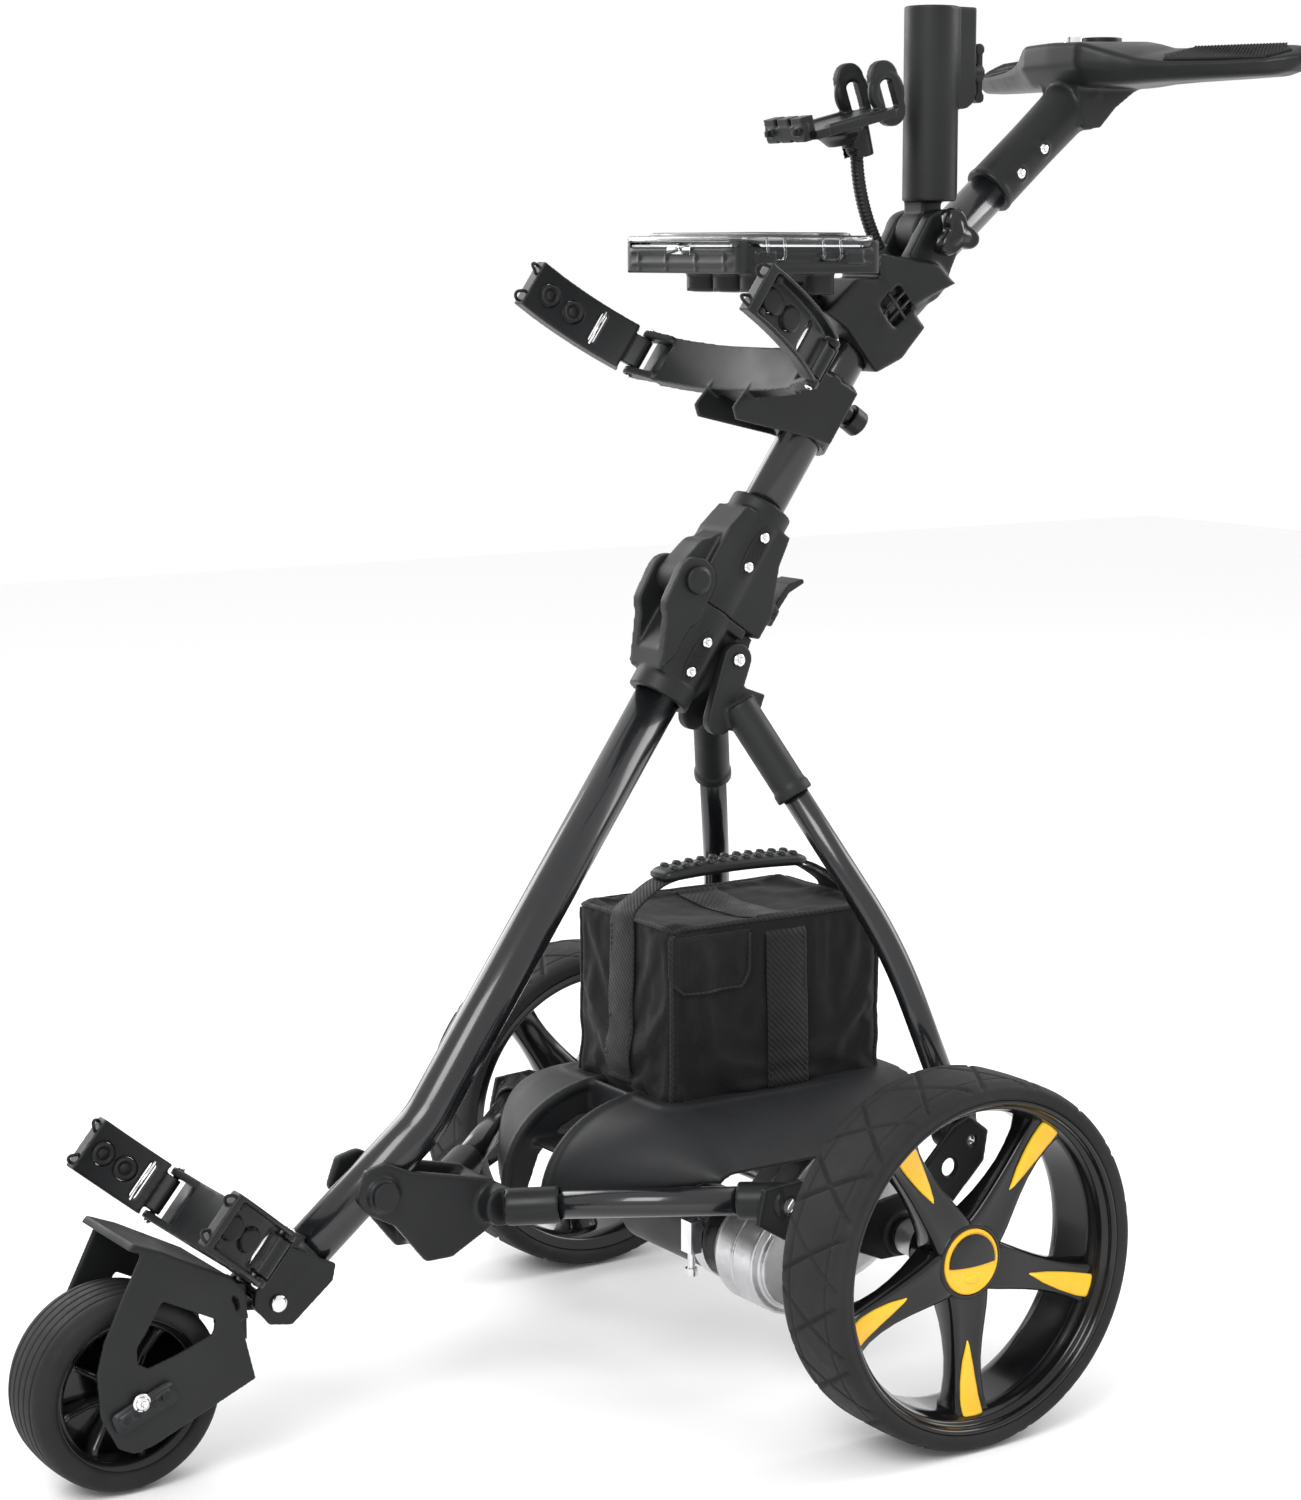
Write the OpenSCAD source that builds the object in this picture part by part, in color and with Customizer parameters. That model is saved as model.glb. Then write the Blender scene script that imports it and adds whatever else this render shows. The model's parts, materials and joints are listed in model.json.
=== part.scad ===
// Electric golf trolley: three wheels, folding stem, two bag cradles, battery bag on a tray
// and a motor with a spur gear on the rear axle. X is the width, the front wheel points to -Y
// and +Z is up. The origin is under the middle of the trolley, at floor level.

/* [Wheels] */
// Width over the two rear wheels
overall_w = 600; // [580:1:620]
// Radius of the rear wheels
rear_r = 140; // [138:0.5:142]
// Width of a rear tyre
rear_tyre_w = 72.5; // [68:0.5:76]
// Radius of the front wheel
front_r = 73.7; // [72:0.1:75]
// Width of the front tyre
front_tyre_w = 61.8; // [56:0.1:66]
// Distance from the rear axle forward to the front axle
wheelbase = 560.7; // [556:0.1:566]
// Number of spokes in a rear wheel
spokes = 5; // [5:1:6]

/* [Frame] */
// Outer radius of the lower main tube
lower_tube_r = 18; // [17:0.1:18.5]
// Outer radius of the upper stem tube
upper_tube_r = 17; // [16:0.1:17.5]
// Wall of the main tubes
tube_wall = 2; // [1.5:0.1:3]
// Outer radius of the rear legs and base arms
leg_r = 10.8; // [10:0.1:11.5]
// Slope of the straight part of the stem above the floor, in degrees
stem_slope = 55.5; // [55:0.1:56]
// Slope of the neck and handle end of the stem, in degrees
neck_slope = 40; // [39:0.1:41]

/* [Battery bag] */
// Width of the battery bag
bag_w = 140; // [130:1:144]
// Length of the battery bag, front to back
bag_l = 206; // [196:1:210]
// Height of the battery bag
bag_h = 160; // [150:1:170]

/* [Accessories] */
// Bore radius of the umbrella tube
umbrella_bore_r = 18; // [16:0.1:19]
// Outer radius of the umbrella tube
umbrella_r = 22; // [21:0.1:23]
// Width of the scorecard tray
card_w = 164; // [150:1:170]

/* [Hidden] */
$fn = 48;

satin = [0.10, 0.10, 0.11];
moulded = [0.14, 0.14, 0.15];
rubber = [0.20, 0.20, 0.21];
fabric = [0.08, 0.08, 0.09];
yellow = [0.96, 0.72, 0.15];
silver = [0.66, 0.67, 0.69];
chrome = [0.85, 0.86, 0.88];
clear = [0.85, 0.88, 0.92, 0.4];

gap = 0.3;              // clearance between pieces of different bodies
fit = 0.1;              // clearance of a tube in its sleeve
run = 0.06;             // radial clearance of a running fit
latch_heel_r = 4.7;     // room for the latch lever's heel to turn
rear_extent = 398;      // rearmost point of the handle behind the rear axle
rear_axle_y = (wheelbase + front_r - rear_extent) / 2;

// Stem frame: origin where the fold splits the stem, z runs up the tube, -y is its front side.
stem_o = [-43.7, 608.1];
pivot_n = 35;           // fold pivot in front of the stem's axis
split_s = -8;           // where the lower bracket ends
bend_s = 256;           // where the stem and neck axes cross
stem_bend_r = 120;
frame_bend_r = 90;
lower_slope = 39;
lower_len = 461;        // from the split down to the lower bend
lower_end = 186;        // from the lower bend to the end of the tube
neck_len = 262;
bend_lap = 1.5;         // how far a straight runs into a bend
bend_extra = 0.2;       // how much fuller a bend is than its straights
rivet_s = -30.8;        // rivet through the lower hinge bracket and the legs' bracket
rivet_n = 35;

function stem_pt(s, n) = [stem_o[0] + s * cos(stem_slope) - n * sin(stem_slope),
                          stem_o[1] + s * sin(stem_slope) + n * cos(stem_slope)];
neck_o = stem_pt(bend_s, 0);
function neck_pt(u, n) = [neck_o[0] + u * cos(neck_slope) - n * sin(neck_slope),
                          neck_o[1] + u * sin(neck_slope) + n * cos(neck_slope)];
bend_o = stem_pt(-lower_len, 0);
pivot = stem_pt(0, pivot_n);

axle_z = rear_r;
front_axle_p = [-wheelbase, front_r];

// Gear pair between the motor and the rear axle
gear_mod = 1.5;
gear_teeth = 66;
pinion_teeth = 12;
gear_centre = gear_mod * (gear_teeth + pinion_teeth) / 2 + 0.1;
gear_dir = 215.3;       // direction from the axle to the motor
gear_x = 104;           // middle of the gears along X
gear_w = 10;
motor_p = [gear_centre * cos(gear_dir), axle_z + gear_centre * sin(gear_dir)];

// Rear leg axis: top, bend, foot
leg_path = [[22, -29, 522], [120, 47, 342], [172, 68, 218]];
arm_front = [44, -255, 166];
arm_rear = [178, -116, 181];
bracket_x = 186;        // middle of the axle bracket plates

// Battery tray
tray_floor = 213;
bag_front = -128;

// Bag cradles: radius of the bag they hold, hinge and tip angles of their arms
upper_c = [150, 190, 52, 92, 40, 163, 78];   // radius, centre n, hinge, tip, band, s, yoke n
lower_c = [107, 137, 53, 90, 44, 0, 60];
lower_cradle_o = [-425, 133];
lower_cradle_slope = 50;
cradle_wall = 3;
cradle_depth = 13;

// Umbrella holder and scorecard tray
tilt_p = [168, 891];
umbrella_z = [917, 1070];
umbrella_back = 10;     // how far the umbrella tube leans back, in degrees
card_y = [-72, 60];
card_z = [861, 886];
card_post = [46.6, 835];   // where the post under the tray meets the saddle
card_post_r = 11;

screw_s_low = [-62, -35.4];
screw_s_up = [32.9, 59.5];
neck_screw_u = [188, 219];
screw_x = 23.6;         // under the heads of the bracket screws
neck_screw_x = 20.6;

// ---------- helpers ----------
module on_axle() translate([0, rear_axle_y, 0]) children();
module slab(w, x = 0) translate([x, 0, 0]) rotate([90, 0, 90]) linear_extrude(w, center = true)
  children();
module at(p, x = 0) translate([x, p[0], p[1]]) children();
module xcyl(r, h) rotate([0, 90, 0]) cylinder(r = r, h = h, center = true);
module both() for (m = [0, 1]) mirror([m, 0, 0]) children();
module along(p, slope) translate([0, p[0], p[1]]) rotate([slope - 90, 0, 0]) children();
module stem() along(stem_o, stem_slope) children();
module neck() along(neck_o, neck_slope) children();
module rod(p, q, r) {
  d = q - p;
  translate(p) rotate([0, acos(d[2] / norm(d)), atan2(d[1], d[0])]) cylinder(r = r, h = norm(d));
}
module bent_rod(pts, r) {
  for (i = [0 : len(pts) - 2]) rod(pts[i], pts[i + 1], r);
  for (i = [1 : len(pts) - 2]) translate(pts[i]) sphere(r + bend_extra);
}
// Round bar bent once in the YZ plane, from slope a to slope b about the vertex v. The bend is
// slightly fuller than the straights so that they end inside it.
module bent_bar(v, a, b, big_r, back, fwd, r) {
  t = big_r * tan(abs(b - a) / 2);
  da = [cos(a), sin(a)];
  db = [cos(b), sin(b)];
  side = b > a ? 1 : -1;
  centre = v - t * da + side * big_r * [-sin(a), cos(a)];
  rod(yz(v - back * da), yz(v - (t - bend_lap) * da), r);
  rod(yz(v + (t - bend_lap) * db), yz(v + fwd * db), r);
  rotate([90, 0, 90]) translate(centre) rotate(b > a ? a - 90 : b + 90)
    rotate_extrude(angle = abs(b - a), $fn = 96) translate([big_r, 0]) circle(r + bend_extra, $fn = 48);
}
module stadium(p, q, r1, r2) {
  translate(p) circle(r1);
  translate(q) circle(r2);
  d = q - p;
  tilt = asin((r1 - r2) / norm(d));
  dir = atan2(d[1], d[0]);
  a = dir + 90 - tilt;
  b = dir - 90 + tilt;
  polygon([p + r1 * [cos(a), sin(a)], p + r1 * [cos(b), sin(b)],
           q + r2 * [cos(b), sin(b)], q + r2 * [cos(a), sin(a)]]);
}
module round_box(w, l, h, r) linear_extrude(h) {
  square([w - 2 * r, l], center = true);
  square([w, l - 2 * r], center = true);
  for (x = [-1, 1], y = [-1, 1]) translate([x * (w / 2 - r), y * (l / 2 - r)]) circle(r);
}
module gear(teeth, w, phase) {
  rp = gear_mod * teeth / 2;
  ra = rp + 0.8 * gear_mod;
  rf = rp - 1.15 * gear_mod;
  pitch = 360 / teeth;
  linear_extrude(w, center = true) rotate(phase) polygon([
    for (i = [0 : teeth - 1]) for (k = [[-0.29, rf], [-0.1, ra], [0.1, ra], [0.29, rf]])
      k[1] * [cos((i + k[0]) * pitch), sin((i + k[0]) * pitch)]]);
}
module lobed_knob(r, h, lobes = 3) {
  cylinder(r = r * 0.6, h = h, center = true);
  for (i = [0 : lobes - 1]) rotate([0, 0, i * 360 / lobes]) {
    translate([r * 0.66, 0, 0]) cylinder(r = r * 0.34, h = h, center = true);
    translate([r * 0.33, 0, 0]) cube([r * 0.66, r * 0.68, h], center = true);
  }
}
module screw(len_in) {
  cylinder(r = 4.2, h = 2.2);
  translate([0, 0, -len_in]) cylinder(r = 2.4, h = len_in);
}
module screw_hole(len_in) translate([0, 0, -len_in - 0.2]) cylinder(r = 2.4 + fit, h = len_in + 6);

// ---------- main tubes ----------
function yz(p) = [0, p[0], p[1]];
function lower_pt(u) = bend_o + u * [cos(lower_slope), sin(lower_slope)];
module lower_tube_solid(r, ext = 0) bent_bar(bend_o, lower_slope, stem_slope, frame_bend_r,
  lower_end + ext, lower_len + split_s - 1 + ext, r);
module upper_tube_solid(r, ext = 0) bent_bar(neck_o, stem_slope, neck_slope, stem_bend_r,
  bend_s - split_s - 1 + ext, neck_len + ext, r);
base_pin_p = lower_pt(-66);
module lower_tube() color(satin) on_axle() difference() {
  lower_tube_solid(lower_tube_r);
  lower_tube_solid(lower_tube_r - tube_wall, 5);
  at(base_pin_p) xcyl(5 + fit, 60);
}
module upper_tube() color(satin) on_axle() difference() {
  upper_tube_solid(upper_tube_r);
  upper_tube_solid(upper_tube_r - tube_wall, 5);
  tilt_joint_space();
}

// ---------- fold hinge ----------
module lower_hinge_bracket() color(moulded) on_axle() difference() {
  union() {
    stem() {
      translate([0, 0, -88]) cylinder(r = 25, h = 16);
      translate([0, 0, -74]) cylinder(r = 23.5, h = 66 + split_s + 8);
      slab(42) polygon([[-24, -74], [-30, -60], [-30, -26], [-18, split_s], [30, split_s],
                        [30, rivet_s + 14.5], [12, rivet_s + 14.5], [12, -74]]);
      slab(24.4) polygon([[10, -74], [10, rivet_s + 15], [30, rivet_s + 15], [30, -60],
                          [24, -74]]);
      slab(24) polygon([[20, split_s], [44, split_s], [48, -30], [40, -44], [20, -50]]);
      both() slab(10, 19) {
        stadium([-pivot_n, 0], [-pivot_n + 2, -22], 17.5, 17.5);
        polygon([[-24, -72], [-50, -22], [-20, -10], [-20, -60]]);
      }
    }
  }
  lower_tube_solid(lower_tube_r + fit);
  at(pivot) xcyl(14.6, 28);
  at(pivot) xcyl(5 + fit, 60);
  stem() {
    translate([0, rivet_n, rivet_s]) xcyl(4 + fit, 60);
    for (s = screw_s_low) both() translate([screw_x, 0, s]) rotate([0, 90, 0]) screw_hole(5.1);
  }
}
module upper_hinge_bracket() color(moulded) on_axle() difference() {
  stem() difference() {
    union() {
      translate([0, 0, 73]) cylinder(r = 25, h = 13);
      translate([0, 0, split_s + gap]) cylinder(r = 23.5, h = 82);
      slab(42) polygon([[-30, split_s + gap], [-30, 50], [-24, 74], [24, 74], [28, 50],
                        [44, 14], [44, split_s + gap]]);
      slab(27.4) {
        stadium([-pivot_n, 0], [-pivot_n + 6, 24], 14, 14);
        polygon([[-20, 62], [-43, 24], [-20, -6]]);
      }
      both() slab(4, 17) polygon([[40, 4], [50, 8], [50, 22], [40, 26]]);
    }
    both() slab(12.6, 20) stadium([-pivot_n, 0], [-pivot_n + 2, -22], 18.1, 18.1);
  }
  upper_tube_solid(upper_tube_r + fit);
  at(pivot) xcyl(5 + run, 60);
  stem() {
    translate([0, 46, 15]) xcyl(2 + run, 60);
    translate([0, 46, 15]) xcyl(latch_heel_r, 29.8);
    for (s = screw_s_up) both() translate([screw_x, 0, s]) rotate([0, 90, 0]) screw_hole(5.8);
  }
}
module fold_pin() color(moulded) on_axle() at(pivot) {
  xcyl(5, 50);
  both() translate([26.2, 0, 0]) {
    xcyl(11, 4);
    translate([2.5, 0, 0]) xcyl(8.5, 1.6);
  }
}
module latch_lever() color(moulded) on_axle() stem() {
  translate([0, 46, 15]) xcyl(2, 37.6);
  difference() {
    slab(29) polygon([[44.6, 12], [47.5, 11], [50, 14], [52, 40], [60, 54], [57, 56], [48, 46],
                      [44.6, 18]]);
    translate([0, 46, 15]) xcyl(2, 60);
  }
}

// ---------- legs and base ----------
module leg_solid(r, from_t = 0) {
  top = leg_path[0] + (leg_path[1] - leg_path[0]) * from_t;
  bent_rod([top, leg_path[1], leg_path[2]], r);
}
module leg() difference() {
  leg_solid(leg_r);
  leg_solid(leg_r - 1.6);
}
module leg_left() color(satin) on_axle() leg();
module leg_right() color(satin) on_axle() mirror([1, 0, 0]) leg();
module y_bracket() color(moulded) on_axle() difference() {
  union() {
    stem() both() slab(9.5, 17.3) {
      stadium([rivet_n, rivet_s], [48, -78], 13, 12);
    }
    both() {
      q = leg_path[0];
      d = (leg_path[1] - q) / norm(leg_path[1] - q);
      rod(q - d * 6, q + d * 74, 14);
      rod(q + d * 70, q + d * 78, 15.2);
    }
    translate([0, -24, 522]) rotate([-20, 0, 0]) cube([46, 24, 34], center = true);
  }
  both() leg_solid(leg_r + fit);
  stem() translate([0, rivet_n, rivet_s]) xcyl(4 + fit, 60);
  stem() slab(24.6) polygon([[10, -6], [62, -6], [56, -56], [10, -62]]);
  lower_tube_solid(lower_tube_r + 5.7);
}
module leg_feet() color(moulded) on_axle() both() difference() {
  f = leg_path[2];
  d = (leg_path[1] - f) / norm(leg_path[1] - f);
  union() {
    rod(f + d * 34, f - d * 12, 15);
    translate([f[0], f[1], f[2] - 16]) xcyl(13, 26);
    translate([f[0] + 1, f[1], f[2] - 3]) cube([24, 24, 26], center = true);
  }
  leg_solid(leg_r + fit);
  translate([f[0], f[1], f[2] - 16]) xcyl(4 + fit, 60);
}
module base_bracket() color(moulded) on_axle() difference() {
  union() {
    both() slab(8, 23) polygon([[-376, 184], [-368, 206], [-350, 210], [-330, 200], [-262, 184],
      [-246, 168], [-258, 148], [-296, 128], [-318, 128], [-344, 160], [-366, 172]]);
    both() at(base_pin_p, 29) xcyl(13, 6);
    at([-260, 165]) xcyl(15, 84);
    at([-306, 140]) xcyl(11, 48);
    both() rod(arm_front - [0, 4, 0.5], arm_front + (arm_rear - arm_front) * 0.2, 14.2);
  }
  lower_tube_solid(lower_tube_r + gap);
  at(base_pin_p) xcyl(5 + fit, 80);
  both() rod(arm_front, arm_rear, leg_r + fit);
}
module base_pin() color(moulded) on_axle() at(base_pin_p) {
  xcyl(5, 64);
  both() translate([34, 0, 0]) xcyl(11, 4);
}
module base_arms() color(satin) on_axle() both() difference() {
  rod(arm_front, arm_rear, leg_r);
  rod(arm_front - (arm_rear - arm_front) * 0.1, arm_rear + (arm_rear - arm_front) * 0.1,
      leg_r - 1.6);
}
module axle_brackets() color(moulded) on_axle() both() difference() {
  f = leg_path[2];
  union() {
    slab(5, bracket_x + 7) difference() {
      polygon([[-134, 168], [-128, 195], [-94, 197], [-24, 168], [4, 172], [50, 216], [66, 222],
               [84, 208], [80, 184], [44, 150], [18, 122], [-18, 122], [-60, 140],
               [-104, 150]]);
      translate([-104, 178]) circle(6);
      translate([-76, 168]) circle(7);
      translate([46, 184]) circle(7);
    }
    at([0, axle_z], bracket_x + 6) xcyl(17, 14);
    rod(arm_rear - (arm_rear - arm_front) * 0.1, arm_rear + [12, 10, 1], 14.2);
    at([f[1], f[2] - 16], bracket_x + 4) xcyl(7, 6);
  }
  rod(arm_front, arm_rear, leg_r + fit);
  at([0, axle_z], bracket_x) xcyl(9 + fit, 60);
  at([f[1], f[2] - 16], bracket_x) xcyl(4 + fit, 60);
}
module bearings() color(chrome) on_axle() {
  both() at([0, axle_z], bracket_x + 6) difference() {
    xcyl(9, 14);
    xcyl(6 + run, 20);
  }
  both() at(front_axle_p, 20) difference() {
    xcyl(11, 8);
    xcyl(4 + fit, 20);
  }
}

// ---------- battery, tray and bag ----------
crest = [[-136, 232], [-152, 230], [-168, 224], [-194, 208], [-212, 184], [-218, 164],
         [-212, 152], [-196, 150], [-190, 190], [-136, 205]];
module battery_tray() color(moulded) on_axle() difference() {
  union() {
    translate([-80, -137, 205]) cube([160, 224, 8]);
    translate([-80, -137, 205]) cube([3, 224, 27]);
    translate([77, -137, 205]) cube([3, 224, 27]);
    translate([-80, 84, 205]) cube([160, 3, 30]);
    translate([-80, -137, 205]) cube([160, 3, 22]);
    both() {
      hull() {
        slab(6, 31) polygon(crest);
        slab(2, 79) polygon([[-140, 228], [-166, 214], [-186, 198], [-184, 192], [-138, 206]]);
      }
      hull() {
        slab(2, 79) polygon([[-140, 228], [-166, 214], [-186, 198], [-184, 193], [-138, 220]]);
        slab(2, 150) polygon([[-128, 197], [-146, 194.5], [-146, 192.5], [-128, 194]]);
      }
      hull() {
        slab(2, 79) polygon([[-140, 228], [84, 234], [84, 229], [-140, 222]]);
        slab(2, 150) polygon([[-128, 197], [50, 200], [50, 197], [-128, 194]]);
      }
    }
    translate([-28, -190, 186]) rotate([0, 0, 0]) cube([56, 56, 4]);
    at([-30, 193]) slab(60) polygon([[-18, 12], [18, 12], [18, -2], [-18, -2]]);
  }
  both() rod(arm_front, arm_rear, 14.6);
  lower_tube_solid(lower_tube_r + 6);
}
module battery_bag() color(fabric) on_axle()
  translate([0, bag_front + bag_l / 2, tray_floor + gap]) difference() {
    union() {
      round_box(bag_w, bag_l, bag_h - 8, 12);
      translate([0, 0, bag_h - 8]) round_box(bag_w - 16, bag_l - 16, 8, 8);
    }
    translate([-66, -99, 3]) cube([132, 198, 142]);
  }
module battery() color(moulded) on_axle() translate([0, bag_front + bag_l / 2, tray_floor + 4])
  union() {
    translate([-65, -97.5, 0]) cube([130, 195, 128]);
    for (y = [-60, 60]) translate([40, y, 128]) cylinder(r = 7, h = 9);
  }
module bag_webbing() color(fabric) on_axle() translate([0, bag_front + bag_l / 2, 0]) {
  both() translate([bag_w / 2 + 0.3, -12, 234]) cube([1.8, 38, bag_h - 26]);
  translate([-bag_w / 2 + 8, -12, tray_floor + bag_h + 0.6]) cube([bag_w - 16, 38, 1.8]);
  for (m = [0, 1]) mirror([0, m, 0]) {
    translate([-19, bag_l / 2 + 0.3, 236]) cube([38, 1.8, 134]);
    translate([-12, 70, tray_floor + bag_h + 17])
      rotate([-24, 0, 0]) translate([0, 0, -1]) cube([24, 32, 2]);
  }
}
module bag_handle() color(moulded) on_axle()
  translate([0, bag_front + bag_l / 2, tray_floor + bag_h + 15]) {
    round_box(30, 136, 9, 6);
    for (i = [-5 : 5]) translate([-14, i * 11.5 - 3, 9]) cube([28, 6, 3]);
  }

// ---------- drive ----------
module motor_can() color(moulded) on_axle() at(motor_p, -6) difference() {
  union() {
    xcyl(33, 140);
    translate([-72, 0, 0]) xcyl(14, 6);
  }
  translate([1, 0, 0]) xcyl(31, 140);
  translate([-74, 0, 0]) xcyl(4 + run, 40);
}
module gearbox_outline(grow) stadium([0, axle_z], motor_p, 56 + grow, 42 + grow);
module gearbox_housing() color(silver) on_axle() difference() {
  union() {
    slab(22, 87) gearbox_outline(0);
    at(motor_p, 70.4) rotate([0, 90, 0]) cylinder(r1 = 35, r2 = 42, h = 12, center = true);
    at([0, axle_z], 70) xcyl(18, 14);
  }
  slab(18, 89.1) gearbox_outline(-4);
  at([0, axle_z], 80) xcyl(6 + run, 60);
  at(motor_p, 80) xcyl(12, 60);
}
module gearbox_cover() color(silver) on_axle() difference() {
  union() {
    slab(26, 111.2) gearbox_outline(0);
    slab(6, 127.2) gearbox_outline(-7);
    at([0, axle_z], 134) xcyl(18, 10);
  }
  slab(22, 109.1) gearbox_outline(-4);
  at([0, axle_z], 120) xcyl(6 + run, 60);
  at(motor_p, 121) xcyl(4 + run, 12);
}
module motor_band() color(chrome) on_axle() at(motor_p, 40) {
  difference() {
    xcyl(34.4, 14);
    xcyl(33 + fit, 20);
  }
  translate([0, -40, 6]) difference() {
    cube([14, 10, 26], center = true);
    cylinder(r = 3, h = 40, center = true);
  }
  translate([0, -40, -2]) cylinder(r = 3, h = 36, center = true);
  translate([0, -40, -23]) cylinder(r = 5, h = 6, center = true);
}
module motor_rotor() color(silver) on_axle() at(motor_p) {
  translate([23.8, 0, 0]) xcyl(4, 205.6);
  translate([-8, 0, 0]) xcyl(22, 84);
  translate([50, 0, 0]) xcyl(10, 10);
  translate([gear_x, 0, 0]) rotate([90, 0, 90])
    gear(pinion_teeth, gear_w + 2, gear_dir + 180);
}
module drive_gear() color(silver) on_axle() at([0, axle_z], gear_x) difference() {
  union() {
    rotate([90, 0, 90]) gear(gear_teeth, gear_w, gear_dir + 180 / gear_teeth);
    xcyl(14, 16);
  }
  xcyl(6 + fit, 40);
  for (i = [0 : 4]) rotate([i * 72, 0, 0]) translate([0, 30, 0]) xcyl(9, 40);
}
module drive_axle() color(silver) on_axle() at([0, axle_z]) {
  xcyl(6, 2 * (overall_w / 2 - 29));
  both() translate([overall_w / 2 - 84.5, 0, 0]) xcyl(14, 22);
}

// ---------- rear wheels ----------
hub_x = -22;            // outer face of the hub behind the tyre's outer face
module tyre() rotate([0, 90, 0]) rotate_extrude($fn = 96) polygon([[126, -rear_tyre_w + 1],
  [133, -rear_tyre_w], [rear_r - 2.5, -rear_tyre_w + 2.5], [rear_r - 0.6, -rear_tyre_w + 12],
  [rear_r, -rear_tyre_w / 2 - 9], [rear_r, -rear_tyre_w / 2 + 9], [rear_r - 0.6, -12],
  [rear_r - 2.5, -2.5], [133, 0], [126, -1]]);
module spoke_profile() polygon([[12, -20], [40, -17], [74, -13], [122, -15], [122, 15], [74, 13],
  [40, 17], [12, 20]]);
module rim() difference() {
  union() {
    rotate([0, 90, 0]) rotate_extrude($fn = 96) polygon([[117, -67], [126, -70], [126, -2],
      [121, -2], [118, -8], [118, -14], [113, -20], [113, -58]]);
    translate([-44.8, 0, 0]) xcyl(27, 46.4);
    translate([-31, 0, 0]) rotate([90, 0, 90]) linear_extrude(18, center = true)
      for (i = [0 : spokes - 1]) rotate(i * 360 / spokes - 90) spoke_profile();
  }
  translate([-45, 0, 0]) xcyl(6 + run, 60);
  translate([hub_x, 0, 0]) xcyl(25.2, 10);
}
module leaf() polygon([[62, -1], [76, -6], [92, -9], [108, -10], [118, -9], [118, 7], [96, 5],
  [78, 3]]);
module wheel_trim() {
  for (i = [0 : spokes - 1]) rotate([i * 360 / spokes - 90, 0, 0]) translate([-20.3, 0, 0])
    rotate([90, 0, 90]) linear_extrude(3, center = true) leaf();
  translate([hub_x - 2, 0, 0]) difference() {
    union() {
      xcyl(25, 6);
      translate([3.5, 0, 0]) xcyl(22, 1);
    }
    translate([0, 0, -13]) cube([30, 12.6, 7.6], center = true);
  }
}
module wheel_button() translate([hub_x + 0.2, 0, -13]) cube([6, 12, 7], center = true);
module on_left_wheel() on_axle() translate([overall_w / 2, 0, axle_z]) children();
module on_right_wheel() on_axle() mirror([1, 0, 0]) translate([overall_w / 2, 0, axle_z])
  children();
module tyre_left() color(rubber) on_left_wheel() tyre();
module rim_left() color(satin) on_left_wheel() rim();
module wheel_trim_left() color(yellow) on_left_wheel() wheel_trim();
module wheel_button_left() color(yellow) on_left_wheel() wheel_button();
module tyre_right() color(rubber) on_right_wheel() tyre();
module rim_right() color(satin) on_right_wheel() rim();
module wheel_trim_right() color(yellow) on_right_wheel() wheel_trim();
module wheel_button_right() color(yellow) on_right_wheel() wheel_button();

// ---------- front wheel ----------
module front_tyre() color(rubber) on_axle() at(front_axle_p) rotate([0, 90, 0])
  rotate_extrude($fn = 96) {
    h = front_tyre_w / 2;
    polygon([[56, -h + 2], [64, -h], [front_r - 4, -h + 3], [front_r - 0.8, -h + 11],
      [front_r, -6], [front_r, 6], [front_r - 0.8, h - 11], [front_r - 4, h - 3], [64, h],
      [56, h - 2]]);
  }
module front_rim() color(satin) on_axle() at(front_axle_p) difference() {
  union() {
    rotate([0, 90, 0]) rotate_extrude($fn = 96) {
      h = front_tyre_w / 2;
      polygon([[50, -h + 6], [56, -h + 3], [56, h - 3], [50, h - 6]]);
    }
    xcyl(16, 48);
    xcyl(51, 8);
  }
  both() translate([20, 0, 0]) xcyl(11 + run, 8.2);
  xcyl(9, 60);
}
fork_side = [[-556, 180], [-586, 121], [-592, 99], [-590, 66], [-577, 41], [-565, 35],
             [-550, 38], [-469, 72], [-479, 114], [-492, 150]];
module front_fork() color(moulded) on_axle() difference() {
  union() {
    both() slab(4, 40) difference() {
      polygon(fork_side);
      polygon([[-541, 143], [-500, 122], [-502, 112], [-530, 102], [-553, 96], [-561, 101],
               [-561, 113], [-554, 122]]);
    }
    slab(84) polygon([[-566, 184], [-562, 189], [-540, 180], [-488, 152], [-476, 138],
                      [-474, 118], [-479, 118], [-482, 134], [-493, 147], [-542, 175]]);
    at([-468, 114]) slab(30) polygon([[-8, 24], [6, 20], [6, -22], [-8, -16]]);
  }
  at(front_axle_p) xcyl(4 + fit, 120);
  at(front_axle_p) xcyl(front_r + 8, front_tyre_w + 10);
  lower_tube_solid(lower_tube_r + 5.6, -1.7);
  at(clamp_pin_p) xcyl(20, 50);
}
module front_axle() color(chrome) on_axle() at(front_axle_p) {
  xcyl(4, 96);
  both() translate([49.5, 0, 0]) xcyl(6.5, 5);
  both() translate([43.8, 3, -5]) rotate([22, 0, 0]) difference() {
    cube([3.6, 50, 17], center = true);
    xcyl(4, 20);
  }
}

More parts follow.
